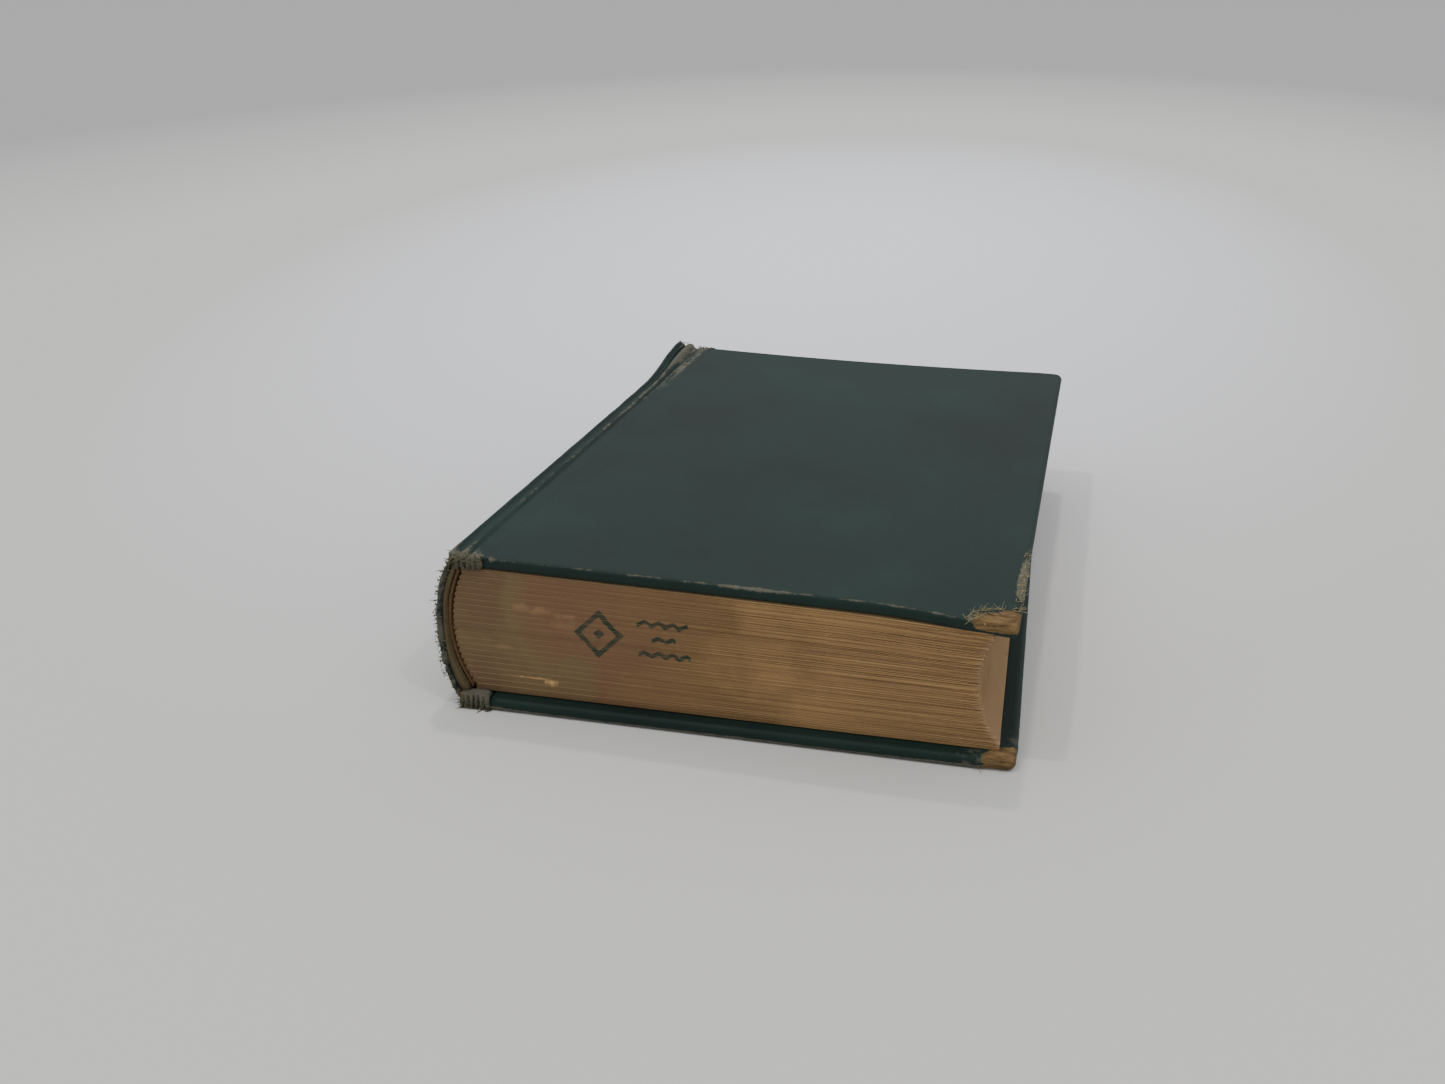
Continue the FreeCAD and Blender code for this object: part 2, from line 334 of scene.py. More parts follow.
def text_layer(height: float) -> Layer:
    """The layer of the text block at a height, between the middles of its sections."""
    heights = [entry[0] for entry in SECTION_LAYERS]
    parts = [[getattr(entry[1], part) for entry in SECTION_LAYERS] for part in ("x", "y", "turn")]
    return Layer(*(float(np.interp(height, heights, part)) for part in parts))


def cover_layer(front: bool) -> Layer:
    """The layer of a cover, its corner at the tail end of the board's spine edge."""
    low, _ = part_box("front_cover_cloth" if front else "back_cover_cloth")
    if not front:
        return Layer(low.x, low.y, 0.0)
    return Layer(low.x, low.y + COVER_WIDTH * math.sin(SKEW), SKEW)


# --- finishes --------------------------------------------------------------------------------

@dataclass(frozen=True)
class Finish:
    """What every finish has: a name, and ways to start and to dress its material."""

    name: str

    def start(self) -> tuple[bpy.types.Material, bpy.types.NodeTree, bpy.types.Node]:
        """Make the empty material.

        Returns:
            The material, its node tree and its principled shader.
        """
        material = bpy.data.materials.new(self.name)
        material.use_nodes = True
        tree = material.node_tree
        return material, tree, tree.nodes["Principled BSDF"]

    def dress(self, tree: bpy.types.NodeTree, colour: bpy.types.NodeSocket,
              relief: bpy.types.NodeSocket, strength: float, depth: float,
              roughness: float) -> None:
        """Give the shader its colour, relief and roughness.

        Args:
            tree: the material's nodes.
            colour: the finished colour.
            relief: the height of the surface's texture.
            strength: how much of the relief shows.
            depth: how deep it is.
            roughness: 0 for a mirror to 1 for chalk.
        """
        shader = tree.nodes["Principled BSDF"]
        bump = add_node(tree, "ShaderNodeBump",
                        {"Height": relief, "Strength": strength, "Distance": depth})
        tree.links.new(colour, shader.inputs["Base Color"])
        tree.links.new(bump.outputs["Normal"], shader.inputs["Normal"])
        shader.inputs["Roughness"].default_value = roughness


@dataclass(frozen=True)
class BookClothFinish(Finish):
    """Starch-filled cotton book cloth, dyed dark green and calendered.

    The filler leaves a satin face over a fine plain weave. Where it is rubbed the filler
    breaks first and shows grey-green threads, and then the brown board or card beneath.
    """

    thread_spacing: float = 0.55
    body: str = "#0f1c19"
    far: str = "#20352f"
    rubbed: str = "#76736a"
    olive: str = "#3d3e2c"
    bare: str = "#6c573a"
    roughness: float = 0.5
    gloss: float = 0.2

    def build(self) -> bpy.types.Material:
        """Build the material, which reads the rub and bare marks on the mesh."""
        material, tree, shader = self.start()
        place = rest_place(tree)
        rub, bare = (add_node(tree, "ShaderNodeAttribute", {}, attribute_name=name).outputs["Fac"]
                     for name in ("rub", "bare"))
        grain, cloud, fleck = (
            add_node(tree, "ShaderNodeTexNoise",
                     {"Vector": place, "Scale": scale, "Detail": detail, "Roughness": rough}
                     ).outputs["Fac"]
            for scale, detail, rough in ((900.0, 6.0, 0.7), (26.0, 5.0, 0.62), (520.0, 7.0, 0.68)))
        # weave: two crossed sets of threads at the cloth's own spacing
        per_thread = 2 / (self.thread_spacing * MM * math.tau)
        warp, weft = (
            add_node(tree, "ShaderNodeTexWave",
                     {"Vector": place, "Scale": per_thread, "Distortion": 1.5, "Detail": 1.0,
                      "Detail Scale": 2.0}, bands_direction=way).outputs["Fac"]
            for way in ("X", "Y"))
        weave = add_node(tree, "ShaderNodeMath", {0: warp, 1: weft}, operation="MULTIPLY")
        # rubbed and bared: each mark plus fine noise, cut to a ragged edge
        cuts = []
        for wear, start, end in ((rub, 1.02, 1.22), (bare, 0.98, 1.08)):
            noisy = add_node(tree, "ShaderNodeMath", {0: fleck, 1: wear}, operation="ADD")
            cut = add_node(tree, "ShaderNodeMapRange",
                           {"Value": noisy.outputs[0], "From Min": start, "From Max": end})
            cuts.append(cut.outputs[0])
        rub_cut, bare_cut = cuts
        # the board and card beneath are laid up in streaks
        layers = add_node(tree, "ShaderNodeMapping",
                          {"Vector": place, "Scale": (220.0, 900.0, 2200.0)})
        streak = add_node(tree, "ShaderNodeTexNoise",
                          {"Vector": layers.outputs[0], "Scale": 1.0, "Detail": 6.0,
                           "Roughness": 0.7})
        pulp = add_node(tree, "ShaderNodeValToRGB", {"Fac": streak.outputs["Fac"]})
        set_stops(pulp, [(0.32, "#43331f"), (0.5, self.bare), (0.68, "#89704b")])
        uneven = add_node(tree, "ShaderNodeMapRange",
                          {"Value": cloud, "From Min": 0.2, "From Max": 0.8})
        dye = add_node(tree, "ShaderNodeMix",
                       {"Factor": uneven.outputs[0], "A": linear(self.body),
                        "B": linear(self.far)}, data_type="RGBA")
        threads = add_node(tree, "ShaderNodeMix",
                           {"Factor": grain, "A": linear(self.olive), "B": linear(self.rubbed)},
                           data_type="RGBA")
        worn = add_node(tree, "ShaderNodeMix",
                        {"Factor": rub_cut, "A": dye.outputs["Result"],
                         "B": threads.outputs["Result"]}, data_type="RGBA")
        cloth = add_node(tree, "ShaderNodeMix",
                         {"Factor": bare_cut, "A": worn.outputs["Result"],
                          "B": pulp.outputs["Color"]}, data_type="RGBA")
        gone = add_node(tree, "ShaderNodeMath", {0: rub_cut, 1: bare_cut}, operation="MAXIMUM")
        rough = add_node(tree, "ShaderNodeMapRange",
                         {"Value": gone.outputs[0], "To Min": self.roughness, "To Max": 0.9})
        patchy = add_node(tree, "ShaderNodeMath", {0: cloud, 1: 0.16, 2: rough.outputs[0]},
                          operation="MULTIPLY_ADD")
        ragged = add_node(tree, "ShaderNodeMath", {0: grain, 1: gone.outputs[0]},
                          operation="MULTIPLY")
        height = add_node(tree, "ShaderNodeMath",
                          {0: ragged.outputs[0], 1: 1.6, 2: weave.outputs[0]},
                          operation="MULTIPLY_ADD")
        self.dress(tree, cloth.outputs["Result"], height.outputs[0], 0.35, 0.06 * MM,
                   self.roughness)
        tree.links.new(patchy.outputs[0], shader.inputs["Roughness"])
        shader.inputs["IOR"].default_value = 1.5
        shader.inputs["Specular IOR Level"].default_value = self.gloss
        return material


@dataclass(frozen=True)
class FibreFinish(Finish):
    """Matt fibrous stuff: pulp board, card, lining paper, linen and thread.

    Pressed or woven fibre scatters light, so it has no gloss, only a mottle as coarse
    as its clumps of fibre.
    """

    dark: str = "#5f4a30"
    light: str = "#a98d62"
    clump: float = 0.7
    roughness: float = 0.88

    def build(self) -> bpy.types.Material:
        """Build the material."""
        material, tree, shader = self.start()
        place = rest_place(tree)
        mottle = add_node(tree, "ShaderNodeTexNoise",
                          {"Vector": place, "Scale": 1 / (self.clump * MM), "Detail": 7.0,
                           "Roughness": 0.7})
        stain = add_node(tree, "ShaderNodeTexNoise",
                         {"Vector": place, "Scale": 40.0, "Detail": 3.0})
        both = add_node(tree, "ShaderNodeMath",
                        {0: stain.outputs["Fac"], 1: 0.5, 2: mottle.outputs["Fac"]},
                        operation="MULTIPLY_ADD")
        tone = add_node(tree, "ShaderNodeValToRGB", {"Fac": both.outputs[0]})
        set_stops(tone, [(0.5, self.dark), (0.95, self.light)])
        self.dress(tree, tone.outputs["Color"], mottle.outputs["Fac"], 0.5, 0.1 * MM,
                   self.roughness)
        shader.inputs["IOR"].default_value = 1.45
        return material


@dataclass(frozen=True)
class PageFinish(Finish):
    """Rag and wood-pulp book paper, aged brown from its edges inwards, with foxing."""

    inner: str = "#c2ab82"
    outer: str = "#a48864"
    foxing: str = "#7d5a35"

    def build(self) -> bpy.types.Material:
        """Build the material, which reads the age mark on the mesh."""
        material, tree, shader = self.start()
        place = rest_place(tree)
        age = add_node(tree, "ShaderNodeAttribute", {}, attribute_name="age").outputs["Fac"]
        cloud = add_node(tree, "ShaderNodeTexNoise",
                         {"Vector": place, "Scale": 60.0, "Detail": 5.0, "Roughness": 0.6})
        fibre = add_node(tree, "ShaderNodeTexNoise",
                         {"Vector": place, "Scale": 1400.0, "Detail": 4.0})
        browned = add_node(tree, "ShaderNodeMath",
                           {0: cloud.outputs["Fac"], 1: 0.45, 2: age}, operation="MULTIPLY_ADD")
        tone = add_node(tree, "ShaderNodeMix",
                        {"Factor": browned.outputs[0], "A": linear(self.inner),
                         "B": linear(self.outer)}, data_type="RGBA")
        spots = add_node(tree, "ShaderNodeTexVoronoi", {"Vector": place, "Scale": 150.0})
        fox = add_node(tree, "ShaderNodeMapRange",
                       {"Value": spots.outputs["Distance"], "From Min": 0.16, "From Max": 0.04,
                        "To Max": 0.5})
        colour = add_node(tree, "ShaderNodeMix",
                          {"Factor": fox.outputs[0], "A": tone.outputs["Result"],
                           "B": linear(self.foxing)}, data_type="RGBA")
        self.dress(tree, colour.outputs["Result"], fibre.outputs["Fac"], 0.25, 0.03 * MM, 0.82)
        shader.inputs["IOR"].default_value = 1.45
        return material


@dataclass(frozen=True)
class LeafEdgeFinish(Finish):
    """The cut edges of the leaves, sprinkled and browned by handling.

    The cut shows each leaf as a hair line. Handling has darkened it to red-brown by the
    spine and ochre by the fore edge, and a plain printer's ornament is stamped on the tail.
    """

    spine_side: str = "#6a5238"
    middle: str = "#80633b"
    fore_side: str = "#ab8656"
    fore_edge: str = "#b3946d"
    deep: str = "#634730"
    pale: str = "#bf9c68"
    ink: str = "#0f2c22"
    smear: str = "#b08a5e"
    # a real leaf is about 0.1 mm thick: the lines are drawn coarser, to show
    leaf_pitch: float = 0.3
    lozenge_place: tuple[float, float] = (23.4, 18.9)
    lozenge_half: float = 4.6
    zigzag_pitch: float = 3.0

    def build(self) -> bpy.types.Material:
        """Build the material."""
        material, tree, shader = self.start()
        place = rest_place(tree)
        axes = add_node(tree, "ShaderNodeSeparateXYZ", {"Vector": place}).outputs
        across = add_node(tree, "ShaderNodeMapRange",
                          {"Value": axes["X"], "From Min": BACK_LOW.x, "From Max": BACK_HIGH.x})
        cloud = add_node(tree, "ShaderNodeTexNoise",
                         {"Vector": place, "Scale": 55.0, "Detail": 4.0, "Roughness": 0.6})
        drift = add_node(tree, "ShaderNodeMath",
                         {0: cloud.outputs["Fac"], 1: 0.7, 2: across.outputs[0]},
                         operation="MULTIPLY_ADD")
        tone = add_node(tree, "ShaderNodeValToRGB", {"Fac": drift.outputs[0]})
        set_stops(tone, [(0.3, self.spine_side), (0.4, "#72603f"), (0.52, "#75553b"),
                         (0.8, self.middle), (1.0, self.fore_side)])
        fore = add_node(tree, "ShaderNodeAttribute", {}, attribute_name="fore").outputs["Fac"]
        tone = add_node(tree, "ShaderNodeMix",
                        {"Factor": fore, "A": tone.outputs["Color"], "B": linear(self.fore_edge)},
                        data_type="RGBA")
        # leaf lines: noise drawn out along X and Y, with the leaf pitch up the block
        drawn_out = []
        for scale, detail, rough in (((14.0, 14.0, 1 / (self.leaf_pitch * MM)), 3.0, 0.75),
                                     ((60.0, 60.0, 9000.0), 2.0, 0.5)):
            stretch = add_node(tree, "ShaderNodeMapping", {"Vector": place, "Scale": scale})
            drawn = add_node(tree, "ShaderNodeTexNoise",
                             {"Vector": stretch.outputs[0], "Scale": 1.0, "Detail": detail,
                              "Roughness": rough})
            drawn_out.append(drawn.outputs["Fac"])
        lines, hair = drawn_out
        both = add_node(tree, "ShaderNodeMath", {0: hair, 1: 0.5, 2: lines},
                        operation="MULTIPLY_ADD")
        # the lines show more towards the fore edge, where the leaves stand open
        spread = add_node(tree, "ShaderNodeMapRange",
                          {"Value": across.outputs[0], "From Min": 0.12, "From Max": 0.85,
                           "To Min": 0.1, "To Max": 1.1})
        centred = add_node(tree, "ShaderNodeMath", {0: both.outputs[0], 1: 0.75},
                           operation="SUBTRACT")
        calm = add_node(tree, "ShaderNodeMapRange",
                        {"Value": fore, "To Min": 1.0, "To Max": 0.42})
        strength = add_node(tree, "ShaderNodeMath",
                            {0: spread.outputs[0], 1: calm.outputs[0]}, operation="MULTIPLY")
        line_depth = add_node(tree, "ShaderNodeMath",
                              {0: centred.outputs[0], 1: strength.outputs[0]},
                              operation="MULTIPLY")
        colour = tone.outputs["Result"]
        for start, end, most, shade in ((0.0, -0.16, 0.75, self.deep),
                                        (0.03, 0.2, 0.8, self.pale)):
            part = add_node(tree, "ShaderNodeMapRange",
                            {"Value": line_depth.outputs[0], "From Min": start,
                             "From Max": end, "To Max": most})
            lined = add_node(tree, "ShaderNodeMix",
                             {"Factor": part.outputs[0], "A": colour, "B": linear(shade)},
                             data_type="RGBA")
            colour = lined.outputs["Result"]
        colour = self.add_ornament(tree, place, self.add_smears(tree, place, colour))
        self.dress(tree, colour, line_depth.outputs[0], 0.6, 0.1 * MM, 0.68)
        shader.inputs["IOR"].default_value = 1.45
        return material

    def add_smears(self, tree: bpy.types.NodeTree, place: bpy.types.NodeSocket,
                   under: bpy.types.NodeSocket) -> bpy.types.NodeSocket:
        """Lay the pale rubbed smears and the long scratch on the tail edge.

        Args:
            tree: the material's nodes.
            place: the surface's own coordinates.
            under: the colour beneath.

        Returns:
            The colour with the smears.
        """
        colour = under
        # from the spine, height, half width, half height, strength and shade of each
        blots = [(6.2, 23.0, 2.4, 0.9, 0.34, self.smear),
                 (10.4, 22.5, 3.4, 1.0, 0.42, self.smear),
                 (16.2, 21.9, 3.0, 1.0, 0.34, self.smear),
                 (15.6, 19.9, 3.6, 1.0, 0.26, self.smear),
                 (2.6, 13.6, 2.4, 0.9, 0.3, self.smear),
                 (13.0, 6.6, 1.5, 1.0, 1.0, "#cfa56b"),
                 (8.4, 7.2, 4.6, 0.24, 0.8, "#c49a64")]
        for x, z, wide, high, strength, shade in blots:
            offset = (-(BACK_LOW.x + x * MM) / (wide * MM), 0.0, -z / high)
            local = add_node(tree, "ShaderNodeMapping",
                             {"Vector": place, "Location": offset,
                              "Scale": (1 / (wide * MM), 0.0, 1 / (high * MM))})
            far = add_node(tree, "ShaderNodeVectorMath", {0: local.outputs[0]},
                           operation="LENGTH")
            ragged = add_node(tree, "ShaderNodeTexNoise",
                              {"Vector": place, "Scale": 650.0, "Detail": 6.0,
                               "Roughness": 0.7})
            edge = add_node(tree, "ShaderNodeMath",
                            {0: ragged.outputs["Fac"], 1: 3.2, 2: far.outputs["Value"]},
                            operation="MULTIPLY_ADD")
            inside = add_node(tree, "ShaderNodeMapRange",
                              {"Value": edge.outputs[0], "From Min": 2.6, "From Max": 1.7,
                               "To Max": strength})
            mixed = add_node(tree, "ShaderNodeMix",
                             {"Factor": inside.outputs[0], "A": colour,
                              "B": linear(shade)}, data_type="RGBA")
            colour = mixed.outputs["Result"]
        return colour

    def add_ornament(self, tree: bpy.types.NodeTree, place: bpy.types.NodeSocket,
                     under: bpy.types.NodeSocket) -> bpy.types.NodeSocket:
        """Stamp a generic ornament on the tail edge: a lozenge, a dot and zigzag rows.

        Args:
            tree: the material's nodes.
            place: the surface's own coordinates.
            under: the colour beneath.

        Returns:
            The colour with the ornament.
        """
        shake = add_node(tree, "ShaderNodeTexNoise",
                         {"Vector": place, "Scale": 420.0, "Detail": 2.0})
        patchy = add_node(tree, "ShaderNodeMapRange",
                          {"Value": shake.outputs["Fac"], "From Min": 0.3, "From Max": 0.55,
                           "To Min": 0.7, "To Max": 0.97})
        axes = add_node(tree, "ShaderNodeSeparateXYZ", {"Vector": place}).outputs
        known = {"shake": shake.outputs["Fac"], "patchy": patchy.outputs[0],
                 "flat_x": axes["X"], "flat_y": axes["Y"], "flat_z": axes["Z"]}
        # each step: the name of its result, the arithmetic, and what it works on
        steps = [
            # a hand stamp's lines wander a little
            ("swing", "SUBTRACT", "shake", 0.5),
            ("wander", "MULTIPLY", "swing", 0.9 * MM),
            ("x", "ADD", "flat_x", "wander"),
            ("z", "ADD", "flat_z", "wander"),
            # the lozenge is 1 on its outline and 0 at its middle
            ("beside", "SUBTRACT", "x", BACK_LOW.x + self.lozenge_place[0] * MM),
            ("across", "ABSOLUTE", "beside"),
            ("above", "SUBTRACT", "z", self.lozenge_place[1] * MM),
            ("up", "ABSOLUTE", "above"),
            ("spread", "ADD", "across", "up"),
            ("lozenge", "DIVIDE", "spread", self.lozenge_half * MM),
            ("past", "SUBTRACT", "lozenge", 1.0),
            ("off", "ABSOLUTE", "past"),
            ("outline", "LESS_THAN", "off", 0.16),
            ("dot", "LESS_THAN", "lozenge", 0.26),
            ("ink", "MAXIMUM", "outline", "dot"),
            # the zigzag that the rows follow, moved a metre along to stay above nought
            ("along", "ADD", "x", 1.0),
            ("wave", "PINGPONG", "along", self.zigzag_pitch * MM / 2),
            ("zigzag", "MULTIPLY", "wave", 0.6),
        ]
        for row_z, middle, half in ((22.0, 37.2, 5.4), (18.6, 37.4, 2.6), (15.2, 37.6, 5.6)):
            steps += [
                ("over", "SUBTRACT", "z", row_z * MM),
                ("line", "SUBTRACT", "over", "zigzag"),
                ("off", "ABSOLUTE", "line"),
                ("near", "LESS_THAN", "off", 0.5 * MM),
                ("beside", "SUBTRACT", "x", BACK_LOW.x + middle * MM),
                ("across", "ABSOLUTE", "beside"),
                ("within", "LESS_THAN", "across", half * MM),
                ("row", "MULTIPLY", "near", "within"),
                ("ink", "MAXIMUM", "ink", "row"),
            ]
        # only the tail edge is stamped, and the ink is patchy
        steps += [
            ("on_tail", "LESS_THAN", "flat_y", BACK_LOW.y + 0.03),
            ("print", "MULTIPLY", "ink", "on_tail"),
            ("amount", "MULTIPLY", "print", "patchy"),
        ]
        for name, operation, *parts in steps:
            inputs = {index: known.get(part, part) for index, part in enumerate(parts)}
            known[name] = add_node(tree, "ShaderNodeMath", inputs, operation=operation).outputs[0]
        stamped = add_node(tree, "ShaderNodeMix",
                           {"Factor": known["amount"], "A": under, "B": linear(self.ink)},
                           data_type="RGBA")
        return stamped.outputs["Result"]


@dataclass(frozen=True)
class PaintedLightTableFinish(Finish):
    """A pale matt tabletop, with painted light behind the book and painted shade away from it."""

    # bright and pale paint a pool of light and the last colour paints shade; plain is the table's
    # own tone
    bright: str = "#f5f7fe"
    pale: str = "#e9ebf2"
    plain: str = "#d0d0cc"
    painted_falloff_shade: str = "#a9a9aa"

    def build(self) -> bpy.types.Material:
        """Build the material."""
        material, tree, _ = self.start()
        place = add_node(tree, "ShaderNodeTexCoord", {}).outputs["Object"]
        around = add_node(tree, "ShaderNodeMapping",
                          {"Vector": place, "Location": (0.15, -0.6, 0.0),
                           "Scale": (2.5, 1.33, 0.0)})
        far = add_node(tree, "ShaderNodeVectorMath", {0: around.outputs[0]},
                       operation="LENGTH")
        share = add_node(tree, "ShaderNodeMapRange",
                         {"Value": far.outputs["Value"], "From Max": 2.0})
        speck = add_node(tree, "ShaderNodeTexNoise",
                         {"Vector": place, "Scale": 240.0, "Detail": 5.0})
        # painted light and shade: the tone is brightest behind the book and darkens towards the
        # rim
        tone = add_node(tree, "ShaderNodeValToRGB", {"Fac": share.outputs[0]})
        set_stops(tone, [(0.06, self.bright), (0.22, self.pale), (0.38, self.plain),
                         (0.5, self.plain), (1.0, self.painted_falloff_shade)])
        self.dress(tree, tone.outputs["Color"], speck.outputs["Fac"], 0.15, 0.1 * MM, 0.85)
        return material


@dataclass
class Finishes:
    """Every material of the book, built once."""

    cloth: bpy.types.Material = field(
        default_factory=lambda: BookClothFinish("calendered_book_cloth").build())
    board: bpy.types.Material = field(
        default_factory=lambda: FibreFinish("pulp_board", clump=0.8).build())
    card: bpy.types.Material = field(
        default_factory=lambda: FibreFinish("brown_card", "#352d1f", "#695b3e", 0.5).build())
    lining: bpy.types.Material = field(
        default_factory=lambda: FibreFinish("kraft_lining", "#4a3824", "#7a5d3c", 0.6).build())
    linen: bpy.types.Material = field(
        default_factory=lambda: FibreFinish("woven_linen", "#7a6a4c", "#b3a27c", 0.4).build())
    thread: bpy.types.Material = field(
        default_factory=lambda: FibreFinish("frayed_cotton", "#3f402d", "#827f60", 0.4).build())
    raw_thread: bpy.types.Material = field(
        default_factory=lambda: FibreFinish("raw_cotton", "#6f6748", "#b7aa84", 0.5).build())
    page: bpy.types.Material = field(default_factory=lambda: PageFinish("aged_page").build())
    endpaper: bpy.types.Material = field(
        default_factory=lambda: PageFinish("aged_endpaper", "#b49c74", "#967b57").build())
    edge: bpy.types.Material = field(
        default_factory=lambda: LeafEdgeFinish("cut_leaf_edges").build())


# --- covers ------------------------------------------------------------------------------------

@dataclass
class Cover:
    """One cover: its board, its cloth with worn edges, its pastedown and frayed threads."""

    finishes: Finishes
    front: bool
    edge_round: float = 1.15 * MM
    corner_round: float = 1.9 * MM
    joint_squeeze: float = 0.15
    board_inset: float = 0.4 * MM
    board_round: float = 0.6 * MM
    worn_depth: float = 0.35 * MM
    pastedown_margin: float = 4 * MM
    perimeter_points: int = 460
    side: str = field(init=False)
    layer: Layer = field(init=False)
    low: float = field(init=False)
    high: float = field(init=False)

    def __post_init__(self) -> None:
        """Read the cover's place from the frame."""
        self.side = "front" if self.front else "back"
        self.layer = cover_layer(self.front)
        low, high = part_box(f"{self.side}_cover_cloth")
        self.low, self.high = low.z, high.z

    def droop(self, x: float, y: float) -> float:
        """How far the cover hangs below its flat place, at a point of its own plane."""
        across, along = x / COVER_WIDTH, y / COVER_HEIGHT
        if not self.front:
            return -0.25 * MM * smooth(0.9, 1.0, across) * smooth(0.1, 0.0, along)
        corner = smooth(0.74, 1.02, across) * smooth(0.26, -0.02, along)
        sag = 4 * across * (1 - across) * smooth(0.55, 1.0, along)
        far_corner = smooth(0.93, 1.0, across) * smooth(0.9, 1.0, along)
        return 1.9 * MM * corner + 0.75 * MM * sag + 0.25 * MM * far_corner

    def ring(self, inset: float, height: float) -> list[tuple[float, float, float]]:
        """One closed loop round the cover.

        Args:
            inset: how far in from the cover's outer edge.
            height: Z of the loop on a flat cover.

        Returns:
            Its points, the same number for every loop.
        """
        half_x, half_y = COVER_WIDTH / 2 - inset, COVER_HEIGHT / 2 - inset
        points = []
        for index in range(self.perimeter_points):
            x, y = self.on_rectangle(index / self.perimeter_points, half_x, half_y, inset)
            x, y = x + COVER_WIDTH / 2, y + COVER_HEIGHT / 2
            if x < self.edge_round:
                x *= self.joint_squeeze
            rough = 0.06 * MM * wobble(x * 700, y * 700, height * 900)
            inward = max(0.0, 1 - inset / (2 * MM))
            y += rough * inward
            points.append((x + rough * inward, y, height - self.droop(x, y)))
        return points

    def on_rectangle(self, share: float, half_x: float, half_y: float,
                     inset: float) -> tuple[float, float]:
        """A point a share of the way round a rectangle with rounded fore corners.

        Args:
            share: 0 to 1, round from the tail spine corner by way of the fore edge.
            half_x: half the rectangle's width.
            half_y: half its height.
            inset: how far the loop is in from the outer edge.

        Returns:
            X and Y from the rectangle's middle.
        """
        long_x, long_y = COVER_WIDTH, COVER_HEIGHT
        walk = share * 2 * (long_x + long_y)
        if walk < long_x:
            x, y = walk / long_x * 2 - 1, -1.0
        elif walk < long_x + long_y:
            x, y = 1.0, (walk - long_x) / long_y * 2 - 1
        elif walk < 2 * long_x + long_y:
            x, y = 1 - (walk - long_x - long_y) / long_x * 2, 1.0
        else:
            x, y = -1.0, 1 - (walk - 2 * long_x - long_y) / long_y * 2
        x, y = x * half_x, y * half_y
        radius = max(self.corner_round - inset, 0.05 * MM)
        corner_x, corner_y = half_x - radius, half_y - radius
        if x > corner_x and abs(y) > corner_y:
            off = Vector((x - corner_x, abs(y) - corner_y))
            longest = max(off.x, off.y)
            if off.length > 1e-9:
                off *= longest / off.length
            x, y = corner_x + off.x, math.copysign(corner_y + off.y, y)
        return x, y

    def stack(self, inset: float, low: float, high: float, rounding: float) -> list:
        """The insets and heights of the loops of a panel, from its inside to its outside."""
        reach = COVER_WIDTH / 2 - 1 * MM
        broad = [reach * (1 - share) for share in (0, 0.12, 0.25, 0.4, 0.55, 0.7, 0.82, 0.9, 0.95)]
        near = [2.1 * MM, 1.6 * MM]
        rounds = [math.pi / 2 * step / 5 for step in range(6)]
        under = [(place, low) for place in broad + near if place > rounding]
        under += [(inset + rounding * (1 - math.sin(a)), low + rounding * (1 - math.cos(a)))
                  for a in rounds]
        over = [(place, low + high - height) for place, height in reversed(under)]
        return under + over

    def panel(self, inset: float, rounding: float) -> tuple[np.ndarray, list]:
        """A closed panel with rounded edges.

        Args:
            inset: how far the panel is inside the cover's outer faces.
            rounding: the radius of its edges.

        Returns:
            Its points in the cover's own plane, and its faces.
        """
        loops = self.stack(inset, self.low + inset, self.high - inset, rounding)
        rings = [self.ring(place, height) for place, height in loops]
        points = np.array([point for ring in rings for point in ring])
        count = self.perimeter_points
        faces = []
        for ring in range(len(rings) - 1):
            for index in range(count):
                after = (index + 1) % count
                a, b = ring * count + index, ring * count + after
                faces.append((a, b, b + count, a + count))
        faces.append(tuple(range(count - 1, -1, -1)))
        faces.append(tuple(range((len(rings) - 1) * count, len(rings) * count)))
        return points, faces

    def placed(self, points: np.ndarray) -> np.ndarray:
        """Points of the cover's own plane, in the book's frame."""
        return np.array([self.layer.at(*point) for point in points])

    def wear(self, x: float, y: float, z: float) -> tuple[float, float]:
        """How far the cloth is rubbed and worn through at a point.

        Args:
            x: distance from the cover's spine edge.
            y: distance from its tail edge.
            z: height on a flat cover.

        Returns:
            The rub and bare marks, each about 0 to 1.
        """
        out = min(y, COVER_HEIGHT - y, COVER_WIDTH - x)
        lift = (z + self.droop(x, y) - self.low) / (self.high - self.low)
        outer = lift if self.front else 1 - lift
        on_edge = smooth(1.6 * MM, 0.1 * MM, out)
        arris = on_edge * smooth(0.55, 0.95, outer)
        rub = 0.1 + 0.1 * wobble(x * 60, y * 60)
        rub += arris * (0.3 + 0.35 * wobble(x * 45, y * 45, 7.0))
        rub += 0.14 * smooth(7 * MM, 0.0, out) * (0.5 + 0.5 * wobble(x * 25, y * 25, 4.0))
        spine_tip = smooth(12 * MM, 1 * MM, x)
        ends = smooth(5 * MM, 0.5 * MM, min(y, COVER_HEIGHT - y))
        rub += 0.2 * spine_tip * ends + 0.1 * smooth(2.5 * MM, 0.0, x)
        bare = 0.0
        to_tail = math.hypot((COVER_WIDTH - x) / (8.5 * MM), y / (7 * MM))
        to_head = math.hypot((COVER_WIDTH - x) / (3 * MM), (COVER_HEIGHT - y) / (3 * MM))
        if self.front:
            bare = 0.85 * smooth(1.35, 0.75, to_tail) * smooth(0.1, 0.5, outer)
            behind = smooth(11 * MM, 15 * MM, y) * smooth(34 * MM, 24 * MM, y)
            rub += 0.75 * behind * smooth(2.6 * MM, 1.2 * MM, COVER_WIDTH - x)
            rub += 0.24 * smooth(2.0, 1.0, to_tail)
            streak = smooth(2 * MM, 14 * MM, x) * smooth(1.0 * MM, 0.3 * MM, y)
            streak *= smooth(0.78, 0.94, outer)
            rub += 0.36 * streak * (0.7 + 0.9 * wobble(x * 160, y * 60, 3.0))
        else:
            bare = 0.85 * smooth(1.05, 0.55, to_tail)
            rub += 0.62 * smooth(0.5, 0.95, outer) * smooth(1.4 * MM, 0.3 * MM, out)
